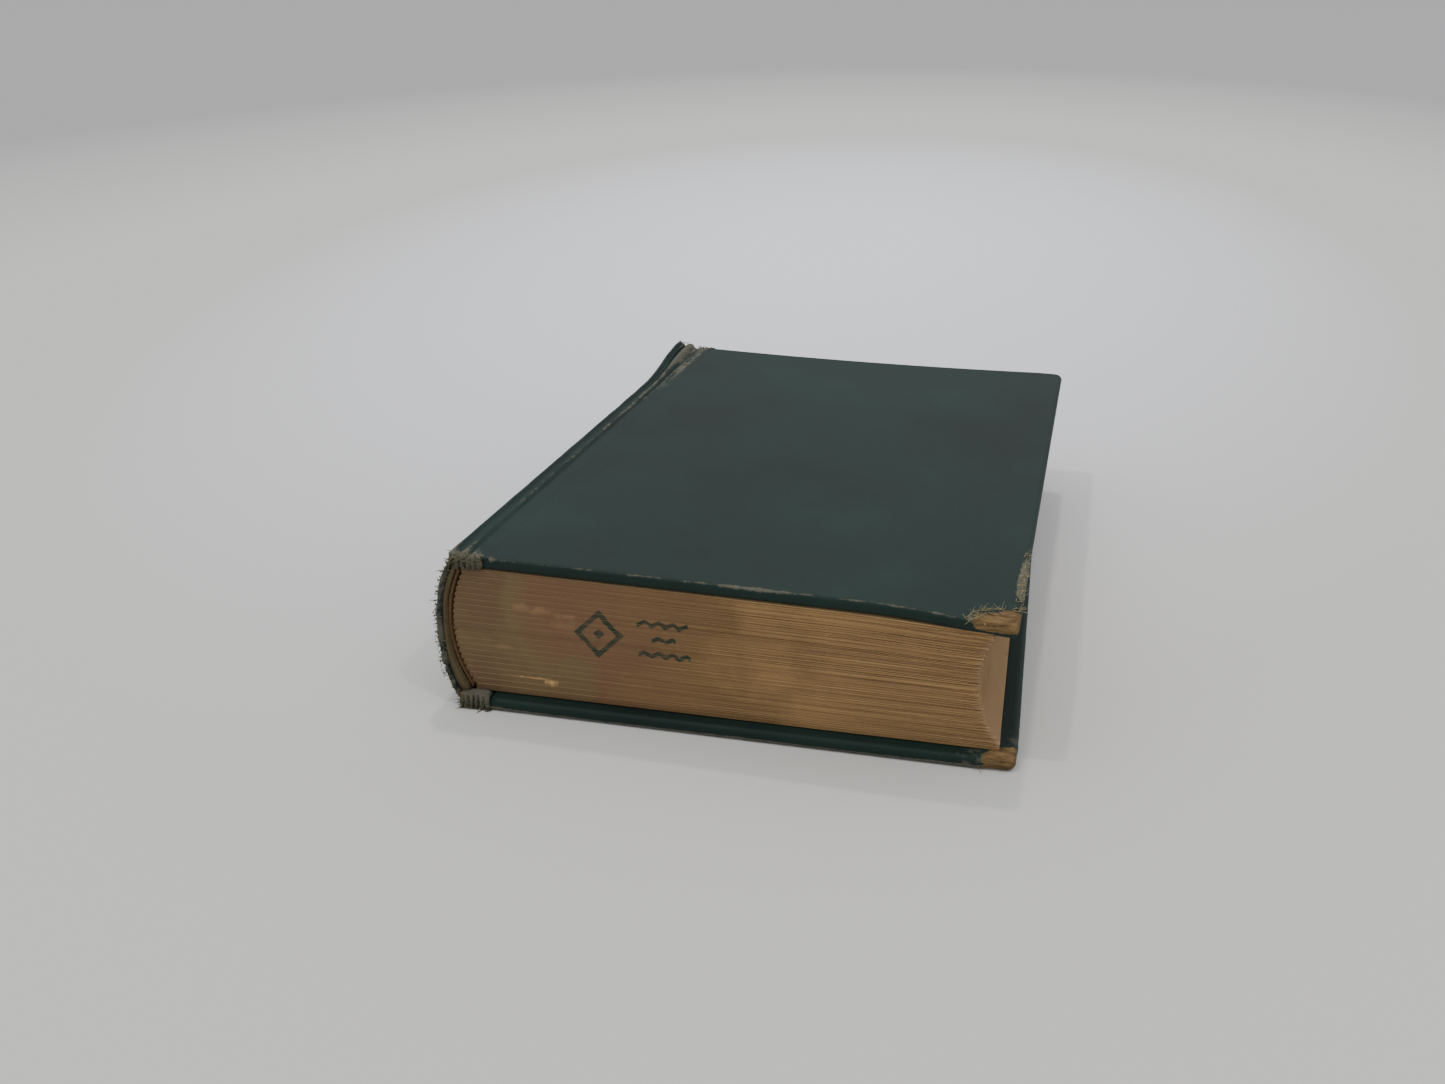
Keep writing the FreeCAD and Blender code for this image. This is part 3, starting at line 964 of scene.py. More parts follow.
            rub += 0.35 * smooth(3.4, 0.8, to_tail)
            rub += 0.5 * smooth(0.6, 1.0, outer) * smooth(0.8 * MM, 0.0, y)
        bare = max(bare, 0.65 * smooth(1.0, 0.5, to_head))
        return rub, bare

    def make_cloth(self) -> None:
        """The covering cloth, with its edges rounded over the board."""
        points, faces = self.panel(0.0, self.edge_round)
        marks = [self.wear(*point) for point in points]
        worn = points.copy()
        for index, (x, y, z) in enumerate(points):
            bare = smooth(0.35, 0.75, marks[index][1])
            crumple = self.worn_depth * wobble(x * 420, y * 420, z * 420) * bare
            inward = Vector((COVER_WIDTH / 2 - x, COVER_HEIGHT / 2 - y)).normalized()
            worn[index] = (x + inward.x * self.worn_depth * bare,
                           y + inward.y * self.worn_depth * bare, z + crumple)
        name = f"{self.side}_worn_cloth"
        piece = add_piece(name, self.placed(worn), faces, [self.finishes.cloth])
        mark(piece, "rub", [entry[0] for entry in marks])
        mark(piece, "bare", [entry[1] for entry in marks])
        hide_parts(f"{self.side}_cover_cloth")
        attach(piece, f"{self.side}_cover")

    def make_board(self) -> None:
        """The pulp board inside the cloth."""
        points, faces = self.panel(self.board_inset, self.board_round)
        name = f"{self.side}_pulp_board"
        piece = add_piece(name, self.placed(points), faces, [self.finishes.board])
        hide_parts(f"{self.side}_board")
        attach(piece, f"{self.side}_cover")

    def make_pastedown(self) -> None:
        """The endpaper pasted on the inside of the cover."""
        margin, columns, rows = self.pastedown_margin, 40, 60
        low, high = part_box(f"{self.side}_pastedown")
        grids = []
        for height in (high.z, low.z):
            grid = []
            for u in crowd(columns, 0.7):
                x = u * (COVER_WIDTH - margin)
                row = []
                for v in crowd(rows, 0.7):
                    y = margin + v * (COVER_HEIGHT - 2 * margin)
                    row.append(self.layer.at(x, y, height - self.droop(x, y)))
                grid.append(row)
            grids.append(np.array(grid))
        points, faces, _ = slab(*grids)
        piece = add_piece(f"{self.side}_pasted_endpaper", points, faces,
                          [self.finishes.endpaper])
        mark(piece, "age", sheet_age(columns, rows))
        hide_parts(f"{self.side}_pastedown")
        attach(piece, f"{self.side}_cover")

    def make_threads(self) -> None:
        """Frayed threads round the worn tail corner and along the worn fore edge."""
        rng = random.Random(SEED + self.front)
        tufts = []
        round_corner, along_edge, reach = (90, 70, 9.5 * MM) if self.front else (40, 14, 7.0 * MM)
        for _ in range(round_corner):
            turn = rng.uniform(0, math.pi / 2)
            x = COVER_WIDTH - reach * math.cos(turn) * rng.uniform(0.9, 1.1)
            y = reach * 0.8 * math.sin(turn) * rng.uniform(0.9, 1.1)
            root = Vector((x, max(y, 0.2 * MM), self.high if self.front else self.low + 0.4 * MM))
            round_patch = Vector((math.sin(turn), math.cos(turn), 0)) * rng.choice((-1, 1))
            lean = (round_patch + Vector((0.3, -0.3, 0))).normalized()
            tufts.append((root, lean, rng.uniform(0.7, 2.9) * MM))
        for _ in range(along_edge):
            y = rng.uniform(11, 34) * MM if self.front else rng.uniform(6, 20) * MM
            root = Vector((COVER_WIDTH - rng.uniform(0.3, 1.8) * MM, y,
                           self.high if self.front else self.low + 0.5 * MM))
            tufts.append((root, Vector((0.6, rng.uniform(-1, 1), 0)).normalized(),
                          rng.uniform(0.6, 2.0) * MM))
        tubes = []
        for root, lean, length in tufts:
            root.z -= self.droop(root.x, root.y) + 0.05 * MM
            path = thread_path(root, lean, length, rng, 0.22)
            path = [Vector(self.layer.at(p.x, p.y, max(p.z, FLOOR_GAP))) for p in path]
            tubes.append(tube(path, rng.uniform(0.04, 0.09) * MM))
        points, faces, _ = join_solids(tubes)
        piece = add_piece(f"{self.side}_corner_threads", points, faces, [self.finishes.raw_thread])
        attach(piece, f"{self.side}_cover")

    def build(self) -> None:
        """Build every piece of the cover."""
        self.make_cloth()
        self.make_board()
        self.make_pastedown()
        self.make_threads()


def sheet_age(rows: int, columns: int) -> list[float]:
    """How brown a leaf is at each point of a slab's two grids, most at its edges."""
    ages = []
    for u in crowd(rows, 0.7):
        for v in crowd(columns, 0.7):
            out = min(1 - u, v * 1.5, (1 - v) * 1.5)
            ages.append(0.1 + 0.65 * smooth(0.16, 0.0, out) + 0.15 * wobble(u * 5, v * 7))
    return ages + ages


def thread_path(root: Vector, lean: Vector, length: float, rng: random.Random,
                lift: float) -> list[Vector]:
    """The line of one loose thread.

    Args:
        root: where it comes out of the cloth.
        lean: the way it starts off.
        length: its length.
        rng: the random draws.
        lift: how much it rises.

    Returns:
        Six points along it.
    """
    path, heading = [root.copy()], lean.copy()
    for _ in range(5):
        swerve = Vector((rng.gauss(0, 0.45), rng.gauss(0, 0.45), rng.gauss(0, 0.25) + lift * 0.4))
        heading = (heading + swerve).normalized()
        path.append(path[-1] + heading * length / 5)
    return path


def tube(path: Sequence[Vector], radius: float) -> tuple[np.ndarray, list, list]:
    """A tapering five-sided tube along a path, closed at both ends."""
    points, faces, sides = [], [], 5
    for index, place in enumerate(path):
        ahead = path[min(index + 1, len(path) - 1)] - path[max(index - 1, 0)]
        ahead.normalize()
        side = ahead.orthogonal().normalized()
        other = ahead.cross(side)
        thick = radius * (1 - 0.55 * index / (len(path) - 1))
        for corner in range(sides):
            turn = 2 * math.pi * corner / sides
            points.append(place + (side * math.cos(turn) + other * math.sin(turn)) * thick)
    for index in range(len(path) - 1):
        for corner in range(sides):
            a = index * sides + corner
            b = index * sides + (corner + 1) % sides
            faces.append((a, b, b + sides, a + sides))
    faces.append(tuple(range(sides - 1, -1, -1)))
    faces.append(tuple(range((len(path) - 1) * sides, len(path) * sides)))
    return np.array([tuple(p) for p in points]), faces, [0] * len(faces)


# --- text block --------------------------------------------------------------------------------

@dataclass
class TextBlock:
    """The sewn sections, each shown as bundles of leaves, and the loose leaves."""

    finishes: Finishes
    bundles: int = 7
    columns: int = 34
    rows: int = 22
    crowding: float = 0.6
    ragged: float = 0.13 * MM
    trim: float = 0.12 * MM
    leaf_gap: float = 0.004 * MM
    fold_round: float = 0.6 * MM
    gutter_radius: float = 0.52 * MM
    gutter_back: float = 0.3 * MM

    def press(self, height: float, along: float, up: float) -> float:
        """How far the block is pressed down under the drooping front corner."""
        near = smooth(0.72, 1.0, along / LEAF_WIDTH) * smooth(0.3, 0.0, up / LEAF_HEIGHT)
        share = (height - TEXT_LOW) / (TEXT_HIGH - TEXT_LOW)
        return 0.85 * MM * near * smooth(0.35, 1.0, share)

    def ripple(self, number: float, along: float, up: float) -> float:
        """How far a boundary between bundles waves, most by the fore edge."""
        opening = smooth(0.45, 1.0, along / LEAF_WIDTH)
        edge = smooth(0.25, 0.0, up / LEAF_HEIGHT) + smooth(0.75, 1.0, up / LEAF_HEIGHT)
        fan = smooth(0.93, 1.0, along / LEAF_WIDTH) * edge
        wave = 0.08 * opening * edge * wobble(along * 90, up * 20, number * 0.8)
        return (wave + 0.22 * fan * wobble(along * 260, up * 90, number * 0.45)) * MM

    def bundle(self, number: int, low: float, high: float, fold: float, node: int) -> tuple:
        """One bundle of leaves as a thin solid.

        Args:
            number: its place in the whole block.
            low: its lower face.
            high: its upper face.
            fold: how far the rounding of the section's fold brings its back edge in.
            node: the index of its section.

        Returns:
            Points, faces and face kinds.
        """
        rng = random.Random(SEED * 7 + number)
        layer = SECTION_LAYERS[node][1]
        tail_out, head_out = (rng.uniform(-1, 1) * self.ragged for _ in range(2))
        fore_out = rng.uniform(-0.35, 0.35) * self.trim
        grids = []
        for height, edge, side in ((high, number + 1, -1), (low, number, 1)):
            grid = []
            for u in crowd(self.columns, self.crowding):
                row = []
                for v in crowd(self.rows, self.crowding):
                    along = fold + u * (LEAF_WIDTH - fold - self.trim + fore_out)
                    up = v * LEAF_HEIGHT
                    uneven = 0.06 + 0.94 * smooth(0.1, 0.8, u)
                    up += (tail_out + self.ragged) * (1 - v) * uneven
                    up -= (head_out + self.ragged) * v * uneven
                    spread = self.leaf_gap + 0.035 * MM * smooth(0.3, 1.0, u)
                    corner = 0.3 + 1.6 * smooth(0.05, 0.0, min(v, 1 - v))
                    along += self.trim * corner * wobble(number * 0.7, v * 6, 2.0) * u
                    limit = 0.0 if high >= MIDDLE - 1 * MM and low <= MIDDLE + 1 * MM else 1.0
                    z = height + side * spread + limit * self.ripple(edge, along, up)
                    row.append(layer.at(along, up, z - self.press(z, along, up)))
                grid.append(row)
            grids.append(np.array(grid))
        return slab(*grids)

    def make_section(self, index: int) -> None:
        """One section, replaced by its bundles of leaves."""
        name = SECTIONS[index]
        low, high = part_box(name)
        step = (high.z - low.z) / self.bundles
        solids = []
        for part in range(self.bundles):
            off = (part + 0.5) / self.bundles * 2 - 1
            fold = self.fold_round * (1 - math.sqrt(1 - off * off))
            number = index * self.bundles + part
            base = low.z + part * step
            solids.append(self.bundle(number, base, base + step, fold, index))
        points, faces, kinds = join_solids(solids)
        piece = add_piece(f"{name}_leaves", points, faces,
                          [self.finishes.edge, self.finishes.page], kinds, flat=True)
        mark(piece, "age", sheet_age(self.columns, self.rows) * self.bundles)
        last = [float(place >= self.columns - 1) for place in range(self.columns)]
        mark(piece, "fore", [value for value in last for _ in range(self.rows)]
             * 2 * self.bundles)
        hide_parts(name)
        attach(piece, "text_lower" if index < HALF else "text_upper")

    def make_leaf(self, name: str, body: str, page: bpy.types.Material) -> None:
        """One loose leaf, a little wavy at its free edges.

        Args:
            name: the CAD node it stands for.
            body: the body it rides on.
            page: the finish of its two faces.
        """
        low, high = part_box(name)
        middle = (low.z + high.z) / 2
        layer = text_layer(middle)
        thick = (high.z - low.z) * 1.3
        grids = []
        for side in (1, -1):
            grid = []
            for u in crowd(self.columns, self.crowding):
                row = []
                for v in crowd(self.rows, self.crowding):
                    along, up = u * LEAF_WIDTH, v * LEAF_HEIGHT
                    z = middle + side * thick / 2 - self.press(middle, along, up)
                    row.append(layer.at(along - 0.2 * MM * u, up + 0.1 * MM, z))
                grid.append(row)
            grids.append(np.array(grid))
        points, faces, kinds = slab(*grids)
        piece = add_piece(f"{name}_sheet", points, faces, [self.finishes.edge, page], kinds)
        mark(piece, "age", sheet_age(self.columns, self.rows))
        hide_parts(name)
        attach(piece, body)

    def make_gutter_sheet(self) -> None:
        """The folded sheet at the middle opening, which hides the gap between the halves."""
        layer = text_layer(MIDDLE)
        radius, start = self.gutter_radius, self.gutter_back
        reach = LEAF_WIDTH - 0.6 * MM
        across = [reach * (1 - share) for share in crowd(30, self.crowding)]
        turns = [math.pi * step / 16 for step in range(1, 16)]
        line = [(x, -radius) for x in across]
        line += [(-radius * math.sin(a), -radius * math.cos(a)) for a in turns]
        line += [(x, radius) for x in reversed(across)]
        grids = []
        for side in (1, -1):
            grid = []
            for index, (x, z) in enumerate(line):
                before = line[max(index - 1, 0)]
                after = line[min(index + 1, len(line) - 1)]
                away = Vector((after[1] - before[1], before[0] - after[0])).normalized()
                off = away * side * 0.02 * MM
                row = [layer.at(x + off.x + start, v * LEAF_HEIGHT + 0.15 * MM, MIDDLE + z + off.y)
                       for v in crowd(self.rows, self.crowding)]
                grid.append(row)
            grids.append(np.array(grid))
        points, faces, kinds = slab(*grids)
        piece = add_piece("gutter_sheet", points, faces, [self.finishes.edge, self.finishes.page],
                          kinds)
        mark(piece, "age", [0.15] * len(points))
        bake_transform(piece)

    def build(self) -> None:
        """Build every section and loose leaf."""
        for index in range(len(SECTIONS)):
            self.make_section(index)
        for body in frame["bodies"]:
            if body.startswith("centre_leaf"):
                self.make_leaf(body, body, self.finishes.page)
        for name in ("front_flyleaf", "back_flyleaf"):
            self.make_leaf(name, name, self.finishes.endpaper)
        self.make_gutter_sheet()


# --- spine -------------------------------------------------------------------------------------

@dataclass
class Spine:
    """Cloth, card, linings, tapes and stitches of the rounded hollow back."""

    finishes: Finishes
    end_setback: float = 6.3 * MM
    lean: float = 2.7 * MM
    bulge: float = 4.95 * MM
    end_lift: float = 0.5 * MM
    fullness: float = 2.8
    slip: float = 4.6 * MM
    # outer and inner depths of the layers: the card's from the cloth, the rest from the folds
    card_depth: float = 1.72 * MM
    card_inner: float = 2.4 * MM
    tape_depths: tuple[float, float] = (0.55 * MM, 0.25 * MM)
    stitch_depths: tuple[float, float] = (0.55 * MM, 0.2 * MM)
    mull_depths: tuple[float, float] = (0.72 * MM, 0.58 * MM)
    lining_depths: tuple[float, float] = (1.3 * MM, 0.75 * MM)
    card_seat: float = 1.36 * MM
    cloth_thick: float = 1.7 * MM
    mull_inset: float = 7 * MM
    half_tape: float = 6 * MM
    half_bend: float = 1.4 * MM
    cap_threads: int = 460
    rows: int = 56
    columns: int = 110

    def case_point(self, share: float, y: float, inset: float) -> tuple[float, float, float]:
        """A point of the hollow back of the case.

        Args:
            share: 0 at the back cover's joint to 1 at the front cover's.
            y: distance from the back cover's tail edge.
            inset: how far inside the outer face.

        Returns:
            The point in the book's frame.
        """
        span = BOOK_TOP - 2 * self.end_lift
        curl = 1 - abs(2 * share - 1) ** self.fullness
        x = -(self.end_setback + self.lean * share + self.bulge * curl) + inset
        x += y * math.tan(SKEW * share)
        shift, lift = flare(y, smooth(0.35, 1.0, share))
        return BACK_LOW.x + x + shift, BACK_LOW.y + y, self.end_lift + share * span + lift

    def card_point(self, share: float, y: float, inset: float) -> tuple[float, float, float]:
        """A point of the card, whose inner face closes on the linings at both ends."""
        x, along, z = self.case_point(share, y, inset)
        if inset > self.card_depth:
            up = min(max((z - TEXT_LOW) / (TEXT_HIGH - TEXT_LOW), 0.0), 1.0)
            back = self.block_point(up, y - (text_layer(z).y - BACK_LOW.y),
                                    self.card_seat)[0]
            near = smooth(6 * MM, 2 * MM, min(y, COVER_HEIGHT + 1.5 * MM - y))
            x += max(back - x, 0.0) * near
        return x, along, z

    def block_point(self, share: float, y: float, offset: float) -> tuple[float, float, float]:
        """A point of the back of the text block, a set distance outside its folds."""
        height = TEXT_LOW + share * (TEXT_HIGH - TEXT_LOW)
        layer = text_layer(height)
        x, _, z = layer.at(-offset, y, height)
        return x, layer.y + y, z

    def sheet_of(self, name: str, node: str, material: bpy.types.Material, slot: Slot,
                 point: Callable, outer: float, inner: float, ends: tuple[float, float],
                 shares: tuple[float, float], columns: int) -> bpy.types.Object:
        """A thin layer up the spine.

        Args:
            name: the piece's name.
            node: the CAD node it stands for.
            material: its finish.
            slot: not used.
            point: the method that places its points.
            outer: depth of its outer face.
            inner: depth of its inner face.
            ends: its tail and head ends.
            shares: the shares of the spine's height at which it starts and stops.
            columns: how many points it has along the spine.

        Returns:
            The piece.
        """
        grids = []
        for depth in (outer, inner):
            grid = []
            for row in range(self.rows):
                share = shares[0] + (shares[1] - shares[0]) * row / (self.rows - 1)
                line = [point(share, ends[0] + (ends[1] - ends[0]) * column / (columns - 1), depth)
                        for column in range(columns)]
                grid.append(line)
            grids.append(np.array(grid))
        points, faces, _ = slab(*grids)
        piece = add_piece(name, points, faces, [material])
        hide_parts(node)
        return piece

    def bend(self, piece: bpy.types.Object) -> None:
        """Bake a spine layer's placement into its mesh."""
        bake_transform(piece)

    def make_linings(self) -> None:
        """Sewing tapes, kettle stitches, mull and paper lining on the back of the block."""
        for node in ("sewing_tape_tail", "sewing_tape_middle", "sewing_tape_head"):
            low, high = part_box(node)
            centre = (low.y + high.y) / 2 - text_layer(MIDDLE).y
            piece = self.sheet_of(f"{node}_linen", node, self.finishes.linen, Slot.LINEN,
                                  self.block_point, *self.tape_depths,
                                  (centre - self.half_tape, centre + self.half_tape),
                                  (0.0, 1.0), 8)
            self.bend(piece)
        low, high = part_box("kettle_stitches")
        base = text_layer(MIDDLE).y
        rows = [low.y - base + 0.5 * MM, high.y - base - 0.5 * MM]
        grids = []
        for y in rows:
            pair = []
            for depth in self.stitch_depths:
                pair.append(np.array([[self.block_point(row / (self.rows - 1), y + side, depth)
                                       for side in (-0.4 * MM, 0.0, 0.4 * MM)]
                                      for row in range(self.rows)]))
            grids.append(slab(*pair))
        points, faces, _ = join_solids(grids)
        stitches = add_piece("kettle_stitch_threads", points, faces, [self.finishes.linen])
        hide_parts("kettle_stitches")
        self.bend(stitches)
        mull = self.sheet_of("mull_gauze", "mull", self.finishes.linen, Slot.LINEN,
                             self.block_point, *self.mull_depths,
                             (self.mull_inset, LEAF_HEIGHT - self.mull_inset), (0.0, 1.0), 40)
        self.bend(mull)
        lining = self.sheet_of("lining_paper", "spine_lining_paper", self.finishes.lining,
                               Slot.LINING, self.block_point, *self.lining_depths,
                               (0.3 * MM, LEAF_HEIGHT - 0.3 * MM), (0.0, 1.0), 40)
        self.bend(lining)

    def make_card(self) -> None:
        """The thin card that stiffens the spine cloth."""
        span = (1.2 * MM, COVER_HEIGHT + 1.5 * MM)
        piece = self.sheet_of("spine_card_inlay", "spine_card", self.finishes.card, Slot.CARD,
                              self.card_point, self.card_depth, self.card_inner, span,
                              (0.03, 0.97), 90)
        slide(piece, self.slip)
        self.bend(piece)

    def wear(self, share: float, along: float) -> tuple[float, float]:
        """The rub and bare marks of the spine cloth.

        Args:
            share: 0 at the back joint to 1 at the front joint.
            along: 0 at the tail to 1 at the head.

        Returns:
            The two marks.
        """
        ends = min(along, 1 - along) * COVER_HEIGHT
        rub = 0.2 + 0.12 * wobble(share * 7, along * 16)
        rub += 0.42 * smooth(7 * MM, 0.6 * MM, ends)
        rub += 0.22 * smooth(0.86, 1.0, share) + 0.16 * smooth(0.14, 0.0, share)
        rub += 0.1 * smooth(0.4, 0.5, share) * smooth(0.6, 0.5, share)
        bare = 0.34 * smooth(4 * MM, 0.0, ends) + 0.16 * smooth(0.9, 1.0, share)
        return rub, bare + 0.1 * wobble(share * 9, along * 60, 3.0)

    def make_cloth(self) -> None:
        """The spine cloth, turned in at its torn head and tail caps."""
        thick = self.cloth_thick
        tail, head = 0.5 * MM, COVER_HEIGHT + 3.2 * MM
        grids, marks = [], []
        for depth in (0.0, thick):
            grid = []
            for row in range(self.rows):
                share = row / (self.rows - 1)
                line = []
                for column in crowd(self.columns, 0.75):
                    near = min(column, 1 - column) * (head - tail)
                    torn = smooth(2.5 * MM, 0.0, near)
                    tear = 0.75 * MM * wobble(share * 22, column * 2, 1.0) * torn
                    tear += 0.35 * MM * wobble(share * 80, column * 2, 5.0) * torn
                    y = tail + column * (head - tail) + tear
                    rolled = 0.5 * thick * (1 - math.sqrt(1 - torn * torn * 0.98))
                    full = 0.5 + 0.5 * smooth(0.0, 0.2, min(share, 1 - share))
                    depth_here = (rolled + depth * (1 - rolled * 2 / thick * 0.9)) * full
                    pull = 0.16 * MM * wobble(share * 5, column * 26, 2.0)
                    depth_here += pull * (1 + 2 * torn)
                    line.append(self.case_point(share, y, depth_here))
                    marks.append(self.wear(share, column))
                grid.append(line)
            grids.append(np.array(grid))
        points, faces, _ = slab(*grids)
        piece = add_piece("spine_worn_cloth", points, faces, [self.finishes.cloth])
        mark(piece, "rub", [entry[0] for entry in marks])
        mark(piece, "bare", [entry[1] for entry in marks])
        slide(piece, self.slip)
        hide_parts("spine_cloth")
        self.bend(piece)

    def make_threads(self, head: bool) -> None:
        """Frayed threads and torn shreds at one cap.

        Args:
            head: whether the head cap's, else the tail cap's.
        """
        rng = random.Random(SEED + 40 + head)
        low_tubes, high_tubes = [], []
        for _ in range(self.cap_threads):
            share = rng.random() ** 0.7
            y = COVER_HEIGHT + 3.0 * MM if head else 0.7 * MM
            y += rng.uniform(-1.2, 0.2) * MM * (1 if head else -1)
            root = Vector(self.case_point(share, y, rng.uniform(-0.05, 1.2) * MM))
            root.y += self.slip * share * (0.5 if head else 1.0)
            outward = 1 if head else -1
            lean = Vector((rng.uniform(-0.9, 0.5), outward * rng.uniform(0.1, 0.7),
                           rng.uniform(-0.8, 0.8))).normalized()
            length = rng.uniform(0.3, 0.95) * MM * (3.0 if rng.random() < 0.03 else 1.0)
            path = thread_path(root, lean, length, rng, 0.0)
            path = [Vector((p.x, p.y, max(p.z, FLOOR_GAP))) for p in path]
            strand = tube(path, rng.uniform(0.06, 0.14) * MM)
            (high_tubes if root.z > MIDDLE else low_tubes).append(strand)
        end = "head" if head else "tail"
        for body, tubes in (("text_lower", low_tubes), ("text_upper", high_tubes)):
            points, faces, _ = join_solids(tubes)
            piece = add_piece(f"{end}_cap_threads_{body}", points, faces,
                              [self.finishes.thread])
            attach(piece, body)

    def build(self) -> None:
        """Build every piece of the spine."""
        self.make_linings()
        self.make_card()
        self.make_cloth()
        self.make_threads(head=False)
        self.make_threads(head=True)


def flare(y: float, share: float) -> tuple[float, float]:
    """How far the upper side of the spine has pulled away from square at the head.

    Args:
        y: distance from the back cover's tail edge.
        share: 0 at the board or at half height, to 1 at the front joint.

    Returns:
        The shift in X and in Z.
    """
    head = share * smooth(136 * MM, 182 * MM, y)
    return -3.0 * MM * head, 1.0 * MM * head


def slide(piece: bpy.types.Object, distance: float) -> None:
    """Shear a spine piece towards the head, none at the back cover and most at the front."""
    for vertex in piece.data.vertices:
        share = vertex.co.z / BOOK_TOP
        along = (vertex.co.y - BACK_LOW.y) / COVER_HEIGHT
        vertex.co.y += distance * share * (1 - 0.5 * along)


# --- joints --------------------------------------------------------------------------------------

@dataclass
class Joint:
    """The creased cloth between one cover and the spine, in two strips."""

    finishes: Finishes
    front: bool
    split: float = 0.55
    ridges: float = 3.1
    columns: int = 120
    rows: int = 22
    thick: float = 0.55 * MM
    threads: int = 150
    side: str = field(init=False)
    layer: Layer = field(init=False)
    width: float = field(init=False)
    lap: float = field(init=False)
    padding: float = field(init=False)
    outer: float = field(init=False)
    into: int = field(init=False)

    def __post_init__(self) -> None:
        """Work out how wide the cloth is, its lap on the board and its padded ends."""
        self.side = "front" if self.front else "back"
        self.layer = cover_layer(self.front)
        self.width = Spine.end_setback + 0.5 * MM
        if self.front:
            self.width += Spine.lean + self.layer.x - BACK_LOW.x
        self.lap = 1.2 * MM if self.front else 0.12 * MM
        self.padding = 3.9 if self.front else 4.7
        low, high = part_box(f"{self.side}_cover_cloth")
        self.outer, self.into = (high.z, -1) if self.front else (low.z, 1)

    def line(self, share: float, along: float) -> float:
        """How high the cloth stands above its flat place, across the joint.

        Args:
            share: 0 at the board's edge to 1 at the spine.
            along: 0 at the tail to 1 at the head, where the ridges stand highest.

        Returns:
            The height, over three pressed ridges.
        """
        dip = -0.45 * MM * smooth(0.0, 0.4, share) * smooth(1.0, 0.6, share)
        swell = 1 + 1.5 * smooth(0.6, 1.0, along)
        return dip + 0.26 * MM * swell * self.crest(share)

    def crest(self, share: float) -> float:
        """How near a point across the joint is to the top of a pressed ridge, -1 to 1."""
        return smooth(0.3, 0.5, share) * math.cos(math.tau * self.ridges * (1 - share))

    def place(self, share: float, up: float, height: float) -> Vector:
        """A point of the joint in the book's frame, with the spine's flare.

        Args:
            share: how far across from the board's edge.
            up: distance from the tail edge.
            height: Z before the flare.

        Returns:
            The point.
        """
        point = Vector(self.layer.at(-share * self.width, up, height))
        if self.front:
            shift, lift = flare(up + self.layer.y - BACK_LOW.y, smooth(0.15, 1.0, share))
            point += Vector((shift, 0.0, lift))
        return point

    def wear(self, share: float, v: float, torn: float) -> tuple[float, float]:
        """The rub and bare marks, with a broad rubbed band and lighter ridge crests towards the
        head.

        Args:
            share: how far across from the board's edge.
            v: 0 at the tail to 1 at the head.
            torn: how near the cloth is to a torn end, 0 to 1.

        Returns:
            The two marks.
        """
        band = smooth(-0.05, 0.25, share) * smooth(0.8, 0.5, share)
        # the ridge crests are lighter, more towards the head: partly rubbed cloth, partly a
        # painted highlight on the ridge tops
        rub = 0.16 + (0.26 + 0.2 * v) * smooth(-0.1, 0.9, self.crest(share))
        streaks = 0.85 + 0.9 * wobble(share * 9, v * 10)
        rub += band * (0.05 + 0.46 * smooth(0.3, 1.0, v)) * streaks
        rub += 0.42 * torn * smooth(-0.1, 0.1, share) + 0.16 * wobble(share * 4, v * 30, 2.0)
        rub += 0.24 * smooth(14 * MM, 2 * MM, v * COVER_HEIGHT)
        bare = (0.1 if self.front else 0.4) * torn + 0.1 * smooth(0.7, 0.97, share)
        return rub, bare + 0.12 * wobble(share * 5, v * 50, 9.0)

    def make_strip(self, name: str, shares: tuple[float, float], node: str | None
                   ) -> bpy.types.Object:
        """One strip of the joint.

        Args:
            name: the piece's name.
            shares: where it starts and stops across the joint, from the board's edge.
            node: the CAD node it stands for, if any.

        Returns:
            The piece.
        """
        first = shares[0] or -self.lap / self.width
        grids, marks = [], []
        for depth in (0.0, self.thick):
            grid, depth_marks = [], []
            for row in range(self.rows):
                share = first + (shares[1] - first) * row / (self.rows - 1)
                free = smooth(-0.02, 0.15, share)
                line = []
                for v in crowd(self.columns, 0.7):
                    near = min(v, 1 - v) * COVER_HEIGHT
                    torn, padded = smooth(4 * MM, 0.0, near), smooth(7 * MM, 2.5 * MM, near)
                    up = v * COVER_HEIGHT + 0.9 * MM * torn * free * wobble(share * 12, v * 3, 6.0)
                    rise = self.line(share, v) + 0.12 * MM * free * wobble(share * 6, v * 24)
                    rise += 0.3 * MM * torn * free * wobble(share * 11, v * 40, 8.0)
                    tuck = 0.04 * MM - 0.14 * MM * smooth(0.0, -self.lap / self.width, share)
                    rise = rise + tuck if self.front else min(rise * 0.6, 0.0)
                    fold = depth * (1 + self.padding * padded * smooth(-0.02, 0.06, share))
                    height = self.outer + self.into * (fold - rise)
                    line.append(tuple(self.place(share, up, height)))
                    depth_marks.append(self.wear(share, v, torn))
                grid.append(line)
            grids.append(np.array(grid))
            marks.append(depth_marks)
        if not self.front:
            grids, marks = grids[::-1], marks[::-1]
        points, faces, _ = slab(*grids)
        piece = add_piece(name, points, faces, [self.finishes.cloth])
        ordered = marks[0] + marks[1]
        mark(piece, "rub", [entry[0] for entry in ordered])
        mark(piece, "bare", [entry[1] for entry in ordered])
        if node:
            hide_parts(node)
        return piece

